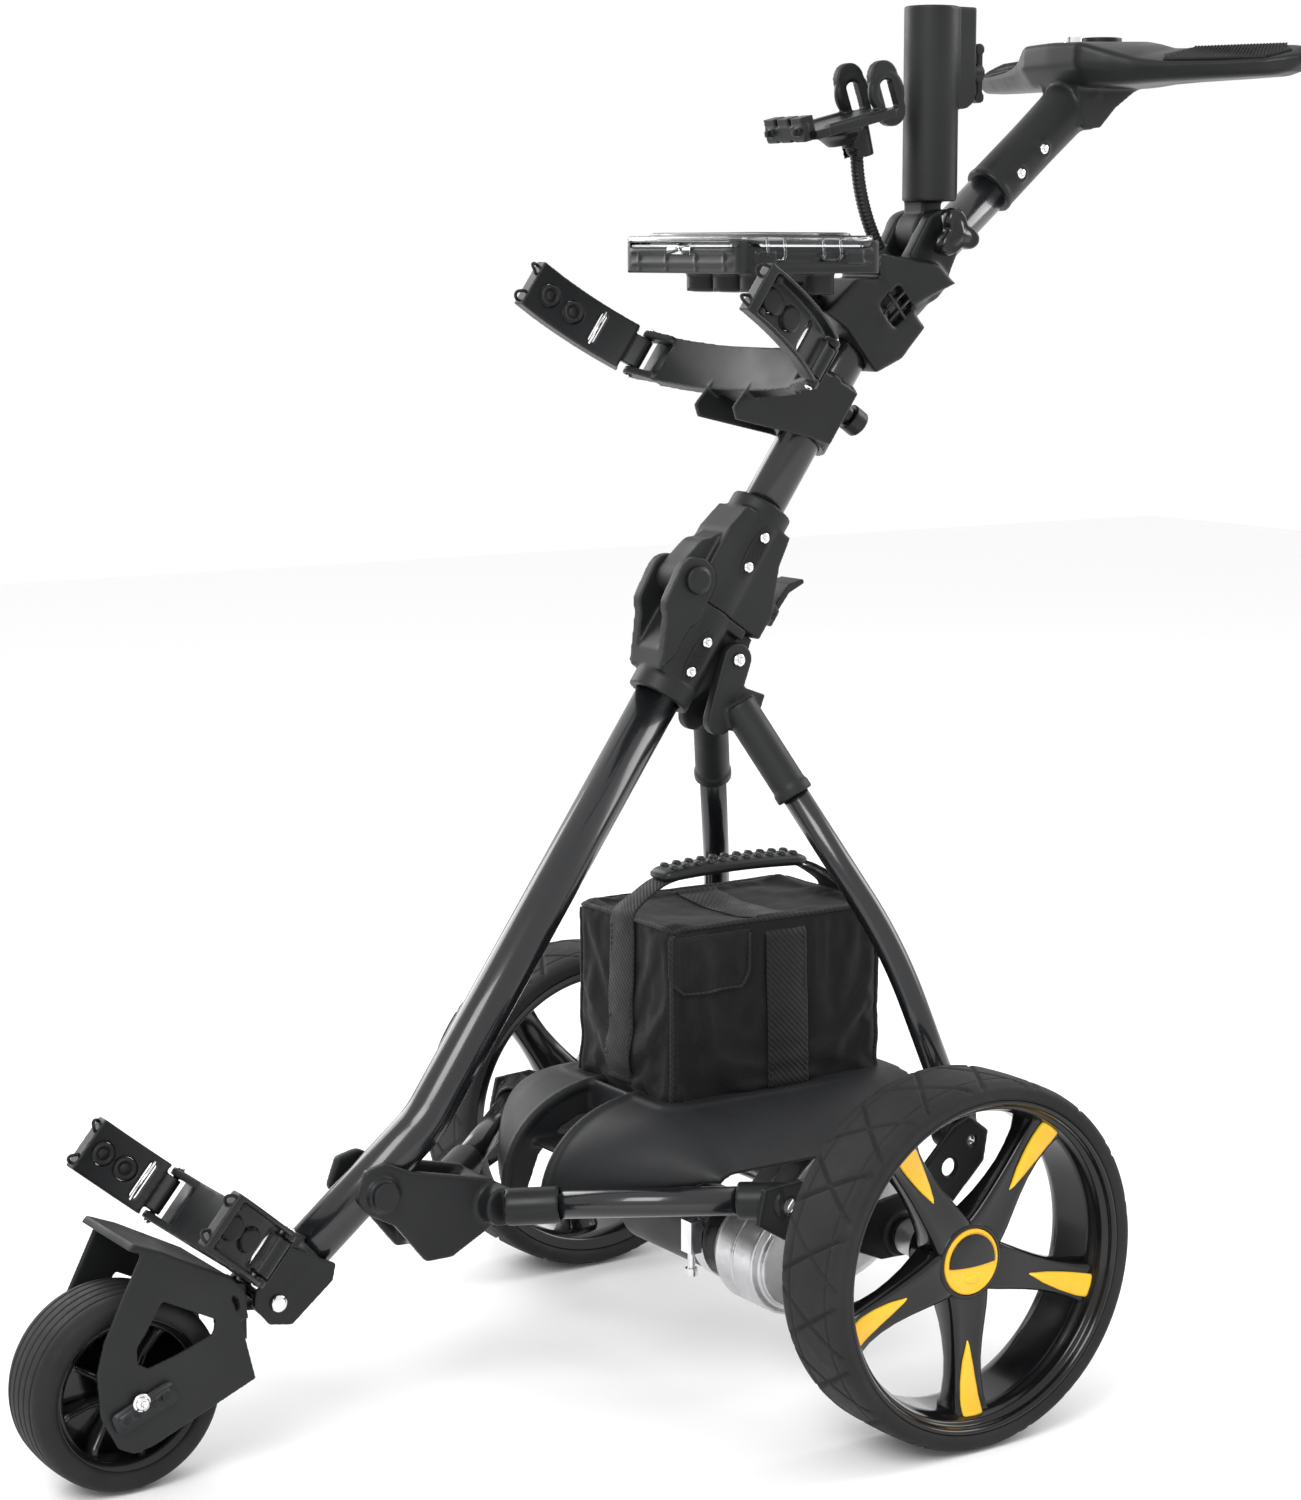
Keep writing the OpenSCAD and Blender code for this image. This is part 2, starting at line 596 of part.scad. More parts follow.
// ---------- bag cradles ----------
// Frame of a cradle: z runs along the band, -y points to the bag
module arm_shape(c, pads, slot) translate([0, -c[1], 0]) {
  a0 = 90 - c[2];       // hinge angle seen from +X towards +Y
  a1 = 90 - c[3];
  difference() {
    union() {
      rotate([0, 0, a1]) rotate_extrude(angle = a0 - a1 - 4, $fn = 96) {
        translate([c[0], -c[4] / 2]) square([cradle_wall, c[4]]);
        for (m = [0, 1]) mirror([0, m]) translate([c[0], c[4] / 2 - 3])
          square([cradle_depth, 3]);
      }
      rotate([0, 0, a1]) rotate_extrude(angle = 3, $fn = 96)
        translate([c[0], -c[4] / 2]) square([cradle_depth, c[4]]);
      rotate([0, 0, a0]) translate([c[0] + 6, 0, 0]) {
        cylinder(r = 5, h = c[4] - 14, center = true);
        translate([-2, -8, 0]) cube([6, 14, c[4] - 14], center = true);
      }
    }
    rotate([0, 0, a0]) translate([c[0] + 6, 0, 0]) cylinder(r = 2 + run, h = 90, center = true);
    for (p = pads) rotate([0, 0, a1 + p]) translate([c[0], 0, 0]) xcyl(9, 30);
    rotate([0, 0, a1 + slot]) translate([c[0], 0, 0])
      cube([30, 5, c[4] - 14], center = true);
  }
}
module cradle_pins(c) {
  a0 = 90 - c[2];
  both() translate([0, -c[1], 0]) rotate([0, 0, a0]) translate([c[0] + 6, 0, 0])
    cylinder(r = 2, h = c[4] + 2, center = true);
}
// The yoke is a shallow curved band from hinge to hinge
module yoke_band(c) {
  hx = (c[0] + 6) * sin(c[2]);
  hn = c[1] - (c[0] + 6) * cos(c[2]);
  sag = hn - c[6];
  big = (hx * hx + sag * sag) / (2 * sag);
  half = asin(hx / big);
  difference() {
    union() {
      translate([0, -c[6] - big, 0]) rotate([0, 0, 90 - half + 3.6])
        rotate_extrude(angle = 2 * half - 7.2, $fn = 96) {
          translate([big - 2, -c[4] / 2]) square([cradle_wall, c[4]]);
          for (m = [0, 1]) mirror([0, m]) translate([big - 2, c[4] / 2 - 3]) square([10, 3]);
        }
      both() translate([hx, -hn, 0]) for (m = [-1, 1]) translate([0, 0, m * (c[4] / 2 - 3)]) {
        linear_extrude(6, center = true) polygon(concat([[-29, 11], [-29, 2.4]],
          [for (a = [-105 : 30 : 75]) 6 * [cos(a), sin(a)]]));
      }
    }
    both() translate([hx, -hn, 0]) {
      cylinder(r = 2 + fit, h = 90, center = true);
      cylinder(r = 7.4, h = c[4] - 12.6, center = true);
    }
  }
}
module upper_frame() stem() translate([0, 0, upper_c[5]]) children();
module lower_frame() along(lower_cradle_o, lower_cradle_slope) children();

module upper_cradle_yoke() color(moulded) on_axle() difference() {
  union() {
    upper_frame() {
      yoke_band(upper_c);
      cradle_pins(upper_c);
    }
    stem() {
      translate([0, 0, 148]) cylinder(r = 23, h = 56);
      slab(26) polygon([[-20, 146], [-76, 142], [-78, 150], [-76, 182], [-60, 184],
                        [-20, 203]]);
      both() slab(4, 26) polygon([[-10, 146], [-76, 120], [-84, 126], [-77, 178.5], [-30, 196],
                                  [10, 200], [10, 152]]);
      both() slab(16, 20) polygon([[-10, 150], [-18, 150], [-18, 200], [-10, 200]]);
      translate([0, 18, 190]) rotate([-90, 0, 0]) cylinder(r = 8, h = 11);
    }
  }
  upper_tube_solid(upper_tube_r + gap);
  stem() translate([0, 10, 190]) rotate([-90, 0, 0]) cylinder(r = 3 + run, h = 40);
}
module cradle_knob() color(moulded) on_axle() stem() translate([0, 0, 190]) rotate([-90, 0, 0]) {
  translate([0, 0, 18]) cylinder(r = 3, h = 16);
  translate([0, 0, 29.4]) cylinder(r = 11, h = 13);
}
module upper_arm_left() color(moulded) on_axle() upper_frame() arm_shape(upper_c, [7, 16], 25);
module upper_arm_right() color(moulded) on_axle() upper_frame() mirror([1, 0, 0])
  arm_shape(upper_c, [7, 16], 25);

clamp_pin_p = lower_pt(-175);
module lower_cradle_yoke() color(moulded) on_axle() difference() {
  union() {
    lower_frame() {
      yoke_band(lower_c);
      cradle_pins(lower_c);
      slab(30) polygon([[-14, -22], [-58, -20], [-60, 20], [-46, 20], [-8, 30]]);
    }
    along(bend_o, lower_slope) {
      translate([0, 0, -184]) cylinder(r = 23, h = 54);
      both() slab(6, 19.3) polygon([[-20, -182], [-26, -142], [14, -124], [22, -134],
                                  [22, -178], [8, -190], [-12, -190]]);
    }
  }
  lower_tube_solid(lower_tube_r + fit, 20);
  at(clamp_pin_p) xcyl(4.5 + fit, 80);
}
module lower_arm_left() color(moulded) on_axle() lower_frame() arm_shape(lower_c, [7.5, 18.5], 27);
module lower_arm_right() color(moulded) on_axle() lower_frame() mirror([1, 0, 0])
  arm_shape(lower_c, [7.5, 18.5], 27);

module frame_screws() color(chrome) on_axle() {
  stem() {
    for (s = screw_s_low) both() translate([screw_x, 0, s]) rotate([0, 90, 0]) screw(5.1);
    translate([0, rivet_n, rivet_s]) {
      xcyl(4, 44.4);
      both() translate([23.2, 0, 0]) xcyl(5.5, 2);
    }
  }
  at(clamp_pin_p) both() translate([21.5, 0, 0]) {
    xcyl(4.5, 6);
    translate([3.6, 0, 0]) xcyl(6.5, 2);
  }
  f = leg_path[2];
  both() at([f[1], f[2] - 16], f[0]) {
    xcyl(4, 40);
    translate([-18, 0, 0]) xcyl(6.5, 3);
  }
}

// ---------- saddle, neck and handle ----------
// Room for the umbrella joint's pin and knuckle
module tilt_joint_space() {
  at(tilt_p) xcyl(4 + run, 120);
  at(tilt_p, -7) xcyl(22, 26.2);
}
module saddle_clamp() color(moulded) on_axle() difference() {
  union() {
    neck() {
      translate([0, 0, 0]) cylinder(r = 27, h = 52);
      slab(52) polygon([[-20, -26], [-44, -34], [-44, 6], [-24, 30], [30, 34], [34, 0],
                        [26, -26]]);
    }
    stem() translate([0, 0, bend_s + 2]) cylinder(r = 24, h = 24);
    slab(14, -27) stadium(tilt_p, [150, 858], 20, 22);
    slab(14, 13) stadium(tilt_p, [150, 858], 20, 22);
    slab(54) polygon([[96, 866], [104, 876], [158, 868], [176, 852], [120, 830]]);
    translate([-10, 131.7, 866.8]) rotate([28, 0, 0]) cylinder(r = 9, h = 16);
    at(card_post) rotate([-90, 0, 0]) cylinder(r = card_post_r, h = 53.4);
  }
  upper_tube_solid(upper_tube_r + fit);
  tilt_joint_space();
  neck() translate([24, -2, 22]) cube([14, 24, 24], center = true);
  translate([-10, 128.9, 872.1]) rotate([28, 0, 0]) cylinder(r = 5 + fit, h = 20);
}
module handle_head() color(moulded) on_axle() difference() {
  union() {
    neck() {
      translate([0, 0, 166]) cylinder(r = 20.5, h = 98);
      translate([0, 0, 165]) cylinder(r = 21.5, h = 4);
    }
    slab(44) polygon([[290, 985], [318, 1012], [376, 1012], [370, 1000], [340, 994],
                      [312, 966]]);
    translate([0, 0, 1010]) linear_extrude(39) polygon([[-34, 288], [34, 288], [58, 312],
      [58, 366], [40, 386], [-40, 386], [-58, 366], [-58, 312]]);
    both() translate([0, 0, 1012]) linear_extrude(29) {
      polygon([[50, 306], [96, 322], [186, 366], [196, 378], [192, 392], [180, rear_extent],
               [150, 394], [100, 376], [50, 368]]);
    }
  }
  upper_tube_solid(upper_tube_r + fit);
  neck() for (u = neck_screw_u) both() translate([neck_screw_x, 0, u]) rotate([0, 90, 0]) screw_hole(2.6);
  translate([0, 346, 1040]) cylinder(r = 17.5, h = 20);
  translate([0, 346, 1030]) cylinder(r = 4 + run, h = 20);
  translate([0, 316, 1038]) cylinder(r = 8.3, h = 20);
}
module speed_dial() color(moulded) on_axle() translate([0, 346, 0]) {
  translate([0, 0, 1032]) cylinder(r = 4, h = 9);
  translate([0, 0, 1040.5]) cylinder(r = 17, h = 11);
  for (i = [0 : 11]) rotate([0, 0, i * 30]) translate([15, 0, 1041])
    cylinder(r = 2, h = 9, $fn = 16);
}
module power_button() color(chrome) on_axle() translate([0, 316, 1042]) cylinder(r = 8, h = 9);
module stem_screws() color(chrome) on_axle() {
  stem() for (s = screw_s_up) both() translate([screw_x, 0, s]) rotate([0, 90, 0]) screw(5.8);
  neck() for (u = neck_screw_u) both() translate([neck_screw_x, 0, u]) rotate([0, 90, 0]) screw(2.6);
}

// ---------- scorecard tray ----------
module scorecard_tray() color(moulded) on_axle() {
  l = card_y[1] - card_y[0];
  mid = (card_y[0] + card_y[1]) / 2;
  difference() {
    union() {
      translate([0, mid, card_z[0]]) round_box(card_w, l, card_z[1] - card_z[0], 10);
      for (x = [-36, 0, 36]) translate([x, -22, 847]) cylinder(r = 17, h = 20);
      translate([0, 45, 844]) round_box(50, 26, 20, 6);
      translate([0, 32, card_post[1]]) rotate([-90, 0, 0])
        cylinder(r = card_post_r, h = card_post[0] - 32);
    }
    at(card_post) rotate([-90, 0, 0]) cylinder(r = card_post_r + gap, h = 20);
    translate([0, mid, card_z[0] + 3]) round_box(card_w - 6, l - 6, 40, 8);
    for (x = [-36, 0, 36]) translate([x, -22, 850]) cylinder(r = 14.5, h = 20);
    translate([0, card_y[1] - 2.5, card_z[1] - 1.5]) xcyl(3.4, 60);
    translate([0, card_y[1] - 2.5, card_z[1] - 1.5]) xcyl(1.5 + run, 120);
  }
  translate([0, card_y[1] - 2.5, card_z[1] - 1.5]) difference() {
    both() translate([36, 0, 0]) xcyl(3, 10);
    xcyl(1.5 + run, 120);
  }
}
module scorecard_lid() color(clear) on_axle() {
  l = card_y[1] - card_y[0];
  mid = (card_y[0] + card_y[1]) / 2;
  translate([0, mid - 4, card_z[1] + gap]) round_box(card_w + 2, l - 6, 3.2, 9);
  translate([0, card_y[1] - 2.5, card_z[1] - 1.5]) {
    xcyl(1.5, 84);
    xcyl(3, 58);
    translate([0, -3, 2.4]) cube([58, 8, 4.8], center = true);
  }
  both() translate([card_w / 2 + 0.4, -40, card_z[1] - 14]) cube([2, 18, 17.4]);
}
// ---------- umbrella holder ----------
module umbrella_tube() color(moulded) on_axle() difference() {
  union() {
    difference() {
      translate([0, tilt_p[0], umbrella_z[0]])
        cylinder(r = umbrella_r, h = umbrella_z[1] - umbrella_z[0]);
      at(tilt_p) rotate([neck_slope + umbrella_back, 0, 0])
        translate([-30, -20, -40]) cube([60, 100, 47]);
    }
    translate([-13, tilt_p[0] + 6, 1003]) cube([26, 30, 67]);
    translate([0, tilt_p[0] + 23, 1003]) rotate([0, 90, 0]) cylinder(r = 13, h = 26, center = true);
    translate([0, tilt_p[0] + 20, 1019]) rotate([-90, 0, 0]) cylinder(r = 10, h = 19);
    at(tilt_p, -7) xcyl(20, 25.4);
    translate([-19.7, tilt_p[0] - 11, tilt_p[1]]) cube([25.4, 19, 28]);
  }
  translate([0, tilt_p[0], umbrella_z[0] + 6]) cylinder(r = umbrella_bore_r, h = 200);
  at(tilt_p) xcyl(4 + run, 120);
  translate([0, tilt_p[0] + 10, 1019]) rotate([-90, 0, 0]) cylinder(r = 3 + run, h = 40);
}
module umbrella_screw() color(moulded) on_axle()
  translate([0, tilt_p[0] + 18.4, 1019]) rotate([-90, 0, 0]) {
    cylinder(r = 3, h = 26);
    translate([0, 0, 26.4]) cylinder(r = 7, h = 10, center = true);
    translate([0, 0, 28.4]) {
      cube([9, 38, 5], center = true);
      for (m = [-1, 1]) translate([0, m * 19, 0]) rotate([0, 90, 0])
        cylinder(r = 4.5, h = 9, center = true);
    }
  }
module tilt_knob() color(moulded) on_axle() at(tilt_p) {
  translate([0, 0, 0]) xcyl(4, 68);
  translate([33, 0, 0]) rotate([0, 90, 0]) lobed_knob(23, 20);
}
// ---------- phone holder ----------
phone_p = [88, 968];
module gooseneck() color(satin) on_axle() translate([-10, 0, 0]) {
  bent_bar([104.5, 918], 118, 94, 150, 52, 38, 5);
  translate([0, 100, 958]) sphere(7.5);
}
module phone_cradle() color(moulded) on_axle() difference() {
  translate([-10, phone_p[0], phone_p[1]]) rotate([14, 0, 0]) {
    translate([0, 0, 6]) round_box(62, 78, 7, 8);
    translate([0, 12, -20]) cylinder(r = 12, h = 27);
    translate([-31, -46, 6]) cube([62, 12, 7]);
    both() translate([22, 34, 12]) rotate([90, 0, 90]) linear_extrude(8, center = true)
      difference() {
        stadium([0, 0], [-2, 26], 13, 13);
        stadium([0, 2], [-2, 22], 6, 6);
      }
  }
  translate([-10, 100, 958]) sphere(7.5 + gap);
  translate([-10, 103, 948]) rotate([14, 0, 0]) cylinder(r = 10, h = 24, center = true);
  translate([-10, phone_p[0], phone_p[1]]) rotate([14, 0, 0]) translate([-20.4, -60, 7.6])
    cube([40.8, 40, 3.8]);
}
module phone_jaw() color(moulded) on_axle() translate([-10, phone_p[0], phone_p[1]])
  rotate([14, 0, 0]) {
    translate([-20, -54, 8]) cube([40, 30, 3]);
    translate([-26, -54, 8]) cube([52, 5, 28]);
  }

// ---------- what is drawn ----------
lower_tube();
lower_hinge_bracket();
fold_pin();
y_bracket();
leg_left();
leg_right();
leg_feet();
base_bracket();
base_pin();
base_arms();
axle_brackets();
bearings();
battery_tray();
battery_bag();
battery();
bag_webbing();
bag_handle();
motor_can();
gearbox_housing();
gearbox_cover();
motor_band();
lower_cradle_yoke();
front_fork();
front_axle();
frame_screws();
front_tyre();
front_rim();
drive_axle();
drive_gear();
motor_rotor();
tyre_left();
rim_left();
wheel_trim_left();
wheel_button_left();
tyre_right();
rim_right();
wheel_trim_right();
wheel_button_right();
upper_tube();
upper_hinge_bracket();
latch_lever();
saddle_clamp();
handle_head();
speed_dial();
power_button();
stem_screws();
scorecard_tray();
scorecard_lid();
gooseneck();
phone_cradle();
phone_jaw();
upper_cradle_yoke();
cradle_knob();
upper_arm_left();
upper_arm_right();
lower_arm_left();
lower_arm_right();
umbrella_tube();
tilt_knob();
umbrella_screw();
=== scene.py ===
import json
import math
from contextlib import contextmanager

import bpy
import bmesh
import numpy as np
from mathutils import Matrix, Vector, noise
from mathutils.bvhtree import BVHTree


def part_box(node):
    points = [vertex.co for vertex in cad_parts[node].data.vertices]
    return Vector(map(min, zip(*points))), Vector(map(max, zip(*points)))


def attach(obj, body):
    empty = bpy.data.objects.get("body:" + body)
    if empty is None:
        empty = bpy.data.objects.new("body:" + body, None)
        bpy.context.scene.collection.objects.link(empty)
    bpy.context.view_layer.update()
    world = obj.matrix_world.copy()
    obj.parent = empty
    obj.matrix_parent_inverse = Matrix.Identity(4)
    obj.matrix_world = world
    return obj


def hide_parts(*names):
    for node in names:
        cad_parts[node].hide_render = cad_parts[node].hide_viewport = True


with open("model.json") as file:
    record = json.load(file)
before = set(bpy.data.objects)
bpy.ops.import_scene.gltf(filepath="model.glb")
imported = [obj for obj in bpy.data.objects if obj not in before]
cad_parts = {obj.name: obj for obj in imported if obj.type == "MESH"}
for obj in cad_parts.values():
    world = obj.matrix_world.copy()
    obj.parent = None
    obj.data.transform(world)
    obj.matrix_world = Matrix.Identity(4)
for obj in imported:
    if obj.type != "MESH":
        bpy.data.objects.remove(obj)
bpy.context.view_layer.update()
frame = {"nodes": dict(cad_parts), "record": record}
nodes = frame["nodes"]
scene = bpy.context.scene
body_of = {n: b for b, ns in frame["record"]["behaviour"]["bodies"].items() for n in ns}
slot_of = {s["node"]: s["material_slot"] for s in frame["record"]["subparts"]}

SIDES = (("left", 1), ("right", -1))
AXLE_Y = 118.2               # the CAD is laid out from the rear axle, in millimetres
REAR_X, REAR_R = 300, 140    # outer face and radius of a rear wheel
FRONT_AXLE = (-560.7, 73.7)
TILT_AXLE = (168, 891)       # umbrella joint
LID_HINGE = (57.5, 884.5)


def P(x, y, z):
    return Vector((x, y + AXLE_Y, z)) / 1000


def slope_dir(degrees):
    return np.array([math.cos(math.radians(degrees)), math.sin(math.radians(degrees))])


def turn(n):
    """n even angles round a full turn."""
    return np.linspace(0, 2 * math.pi, n, endpoint=False)


STEM_SLOPE, NECK_SLOPE = 55.5, 40
STEM, NECK = slope_dir(STEM_SLOPE), slope_dir(NECK_SLOPE)
STEM_O = np.array([-43.7, 608.1])
NECK_O = STEM_O + 256 * STEM
BEND_O = STEM_O - 461 * STEM
NECK_SCREWS = (188, 219)     # places along the neck


def stem_pt(x, n, s):
    """Point beside the stem: n to its front, s up it."""
    return P(x, STEM_O[0] + s * STEM[0] - n * STEM[1], STEM_O[1] + s * STEM[1] + n * STEM[0])


# ---------- camera, light and floor ----------
def add(name, data, loc=(0, 0, 0), back=None):
    """Adds an object to the scene, with its local Z along back."""
    o = bpy.data.objects.new(name, data)
    scene.collection.objects.link(o)
    o.location = loc
    if back is not None:
        o.rotation_euler = back.to_track_quat("Z", "Y").to_euler()
    return o


def camera():
    cam = bpy.data.cameras.new("camera")
    cam.lens, cam.sensor_width = 76.33, 36
    back = Vector((0.8247, -0.5441, 0.1544)).normalized()
    scene.camera = add("camera", cam, (2.0371, -1.3258, 0.8763), back)


def studio():
    scene.view_settings.view_transform = "Standard"
    scene.view_settings.look = "None"
    scene.world = bpy.data.worlds.new("studio")
    scene.world.use_nodes = True
    bg = scene.world.node_tree.nodes["Background"]
    bg.inputs["Color"].default_value = (1, 1, 1, 1)
    bg.inputs["Strength"].default_value = 1.0
    for name, loc, aim_z, size, power in (("key", (1.6, -2.2, 2.6), 0.5, 1.6, 70),
                                          ("side", (-2.6, -0.6, 1.6), 0.5, 1.8, 40),
                                          ("back", (0.6, 2.8, 2.0), 0.6, 1.6, 40)):
        lamp = bpy.data.lights.new(name, "AREA")
        lamp.energy, lamp.size = power, size
        add(name, lamp, loc, Vector(loc) - Vector((0, 0, aim_z)))
    bm = bmesh.new()
    bmesh.ops.create_grid(bm, x_segments=2, y_segments=2, size=6)
    floor = add("floor", mesh_of("floor", bm), (0, 0, -0.0005))
    paper = Tree("floor_paper")
    floor.data.materials.append(paper.set(Base_Color=(0.94, 0.94, 0.94, 1), Roughness=0.85))


# ---------- materials ----------
class Tree:
    """Small helper around a material's nodes."""

    def __init__(self, name):
        self.mat = bpy.data.materials.new(name)
        self.mat.use_nodes = True
        self.t = self.mat.node_tree
        self.bsdf = self.t.nodes["Principled BSDF"]
        self.coord = self.node("ShaderNodeTexCoord", {}).outputs["Object"]

    def feed(self, node, inputs):
        for k, v in inputs.items():
            if isinstance(v, bpy.types.NodeSocket):
                self.t.links.new(v, node.inputs[k])
            else:
                node.inputs[k].default_value = v
        return node

    def node(self, kind, inputs, **props):
        n = self.t.nodes.new(kind)
        for k, v in props.items():
            setattr(n, k, v)
        return self.feed(n, inputs)

    def noise(self, scale, detail=3, rough=0.55):
        return self.node("ShaderNodeTexNoise", {"Vector": self.coord, "Scale": scale,
                                                "Detail": detail, "Roughness": rough}).outputs["Fac"]

    def bands(self, direction, inputs):
        return self.node("ShaderNodeTexWave", {"Vector": self.coord, **inputs},
                         wave_type="BANDS", bands_direction=direction).outputs["Fac"]

    def ramp(self, fac, lo, hi, a=0.35, b=0.65):
        r = self.node("ShaderNodeValToRGB", {"Fac": fac})
        for e, position, colour in zip(r.color_ramp.elements, (a, b), (lo, hi)):
            e.position, e.color = position, (*colour, 1)
        return r.outputs["Color"]

    def remap(self, fac, lo, hi, a=0.3, b=0.7):
        return self.node("ShaderNodeMapRange", {"Value": fac, "From Min": a, "From Max": b,
                                                "To Min": lo, "To Max": hi}).outputs["Result"]

    def math(self, op, a, b):
        return self.node("ShaderNodeMath", {0: a, 1: b}, operation=op).outputs["Value"]

    def mix(self, fac, a, b):
        ends = {k: v if isinstance(v, bpy.types.NodeSocket) else (*v, 1) for k, v in ((6, a), (7, b))}
        return self.node("ShaderNodeMix", {0: fac, **ends}, data_type="RGBA").outputs[2]

    def bump(self, height, strength, distance, **normal):
        return self.node("ShaderNodeBump", {"Height": height, "Strength": strength, "Distance": distance,
                                            **normal}).outputs["Normal"]

    def set(self, **kw):
        self.feed(self.bsdf, {k.replace("_", " "): v for k, v in kw.items()})
        return self.mat


def moulded(name, dark, light, rough=(0.42, 0.55), grain=1400, depth=0.00012, strength=0.35, coat=0.0):
    """Moulded plastic, a little paler on its convex edges."""
    t = Tree(name)
    base = t.ramp(t.noise(9, 4), dark, light)
    worn = t.remap(t.node("ShaderNodeNewGeometry", {}).outputs["Pointiness"], 0, 1, 0.53, 0.60)
    pale = tuple(min(1, c * 2.4 + 0.01) for c in light)
    t.set(Base_Color=t.mix(t.math("MULTIPLY", worn, 0.35), base, pale), Specular_IOR_Level=0.28,
          Roughness=t.remap(t.noise(26, 3), *rough), Normal=t.bump(t.noise(grain, 2), strength, depth))
    if coat:
        t.set(Coat_Weight=coat, Coat_Roughness=0.12)
    return t.mat


def painted(name, dark, light):
    t = Tree(name)
    return t.set(Base_Color=t.ramp(t.noise(7, 3), dark, light), Roughness=t.remap(t.noise(40, 3), 0.20, 0.28),
                 Normal=t.bump(t.noise(420, 2), 0.06, 0.0002), Specular_IOR_Level=0.4, Coat_Weight=0.45,
                 Coat_Roughness=0.08)


def metal(name, a, b, rough, grain, bump=0.08):
    t = Tree(name)
    n = t.noise(grain, 4)
    return t.set(Base_Color=t.ramp(t.noise(30, 3), a, b), Metallic=1.0, Roughness=t.remap(n, *rough),
                 Normal=t.bump(n, bump, 0.0002))


def rubber(name):
    t = Tree(name)
    base = t.ramp(t.noise(14, 5), (0.0085, 0.0085, 0.0095), (0.016, 0.016, 0.017))
    dust = t.noise(90, 5, 0.7)
    return t.set(Base_Color=t.mix(t.remap(dust, 0, 0.25, 0.5, 0.8), base, (0.028, 0.028, 0.028)),
                 Roughness=t.remap(dust, 0.58, 0.75), Specular_IOR_Level=0.25,
                 Normal=t.bump(t.noise(1500, 3), 0.3, 0.0002))


def nylon(name, pitch=0.0009):
    t = Tree(name)
    dark, light = (0.0028, 0.0028, 0.0032), (0.0062, 0.0062, 0.0070)
    pattern = {"Scale": 0.314 / pitch / 2, "Distortion": 0.6, "Detail": 1.0, "Detail Scale": 3.0}
    x, y, z = (t.bands(axis, pattern) for axis in "XYZ")
    weave = t.math("MULTIPLY", t.math("ADD", t.math("ADD", x, y), z), 0.333)
    fuzz = t.noise(60, 5, 0.6)
    colour = t.mix(t.remap(weave, 0.0, 0.5, 0.35, 0.75), t.ramp(fuzz, dark, light, 0.3, 0.7),
                   tuple(c * 1.7 for c in light))
    creases = t.bump(t.noise(35, 3), 0.12, 0.002)
    return t.set(Base_Color=colour, Roughness=t.remap(fuzz, 0.62, 0.8), Sheen_Weight=0.06,
                 Sheen_Roughness=0.4, Specular_IOR_Level=0.20,
                 Normal=t.bump(weave, 0.6, 0.0003, Normal=creases))


def webbing(name):
    t = Tree(name)
    w = t.bands("DIAGONAL", {"Scale": 130, "Distortion": 0.2})
    return t.set(Base_Color=t.mix(w, (0.003, 0.003, 0.0035), (0.011, 0.011, 0.012)),
                 Roughness=t.remap(t.noise(70, 4), 0.5, 0.7), Sheen_Weight=0.05, Specular_IOR_Level=0.25,
                 Normal=t.bump(w, 0.5, 0.0004))


def clear(name):
    t = Tree(name)
    scuffs = t.noise(140, 6, 0.7)
    return t.set(Base_Color=t.ramp(scuffs, (0.93, 0.95, 0.98), (0.99, 1.0, 1.0)),
                 Roughness=t.remap(scuffs, 0.0, 0.04, 0.4, 0.8), Transmission_Weight=1.0, IOR=1.45,
                 Normal=t.bump(t.noise(30, 2), 0.03, 0.001))


M = {
    "tube_paint": painted("tube_paint", (0.0042, 0.0046, 0.0058), (0.0066, 0.0071, 0.0085)),
    "moulded": moulded("moulded_plastic", (0.0075, 0.008, 0.0085), (0.012, 0.0125, 0.013)),
    "tray": moulded("tray_plastic", (0.009, 0.0095, 0.0105), (0.014, 0.0145, 0.016), (0.46, 0.58), 700,
                    0.0002, 0.5),
    "soft_black": moulded("satin_plastic", (0.0065, 0.007, 0.0075), (0.0105, 0.011, 0.012), (0.33, 0.45),
                          1800, 0.00008, 0.2),
    "gloss_black": moulded("gloss_plastic", (0.0035, 0.0035, 0.0042), (0.006, 0.006, 0.0068), (0.14, 0.22),
                           500, 0.0001, 0.05, coat=0.22),
    "tyre_rubber": rubber("tyre_rubber"),
    "bag_nylon": nylon("bag_nylon"),
    "webbing": webbing("strap_webbing"),
    "yellow": moulded("yellow_plastic", (0.90, 0.45, 0.018), (0.96, 0.52, 0.03), (0.26, 0.38), 900,
                      0.00008, 0.15, coat=0.2),
    "alloy": metal("cast_alloy", (0.50, 0.50, 0.51), (0.64, 0.64, 0.65), (0.30, 0.45), 260),
    "bright": metal("bright_steel", (0.72, 0.72, 0.73), (0.84, 0.84, 0.85), (0.12, 0.24), 200, bump=0.03),
    "clear": clear("clear_sheet"),
    "bumper": moulded("bumper_rubber", (0.006, 0.006, 0.006), (0.010, 0.010, 0.010), (0.55, 0.7), 900,
                      0.0001, 0.3),
}


def dress(me, mat):
    me.materials.clear()
    me.materials.append(M[mat])


# ---------- pieces ----------
def mesh_of(name, bm):
    me = bpy.data.meshes.new(name)
    bm.to_mesh(me)
    bm.free()
    return me


@contextmanager
def editing(me):
    """A bmesh of me, written back afterwards."""
    bm = bmesh.new()
    bm.from_mesh(me)
    yield bm
    bm.to_mesh(me)
    bm.free()


def joined(name, parts):
    bm = bmesh.new()
    for p in parts:
        bm.from_mesh(p)
        bpy.data.meshes.remove(p)
    return mesh_of(name, bm)


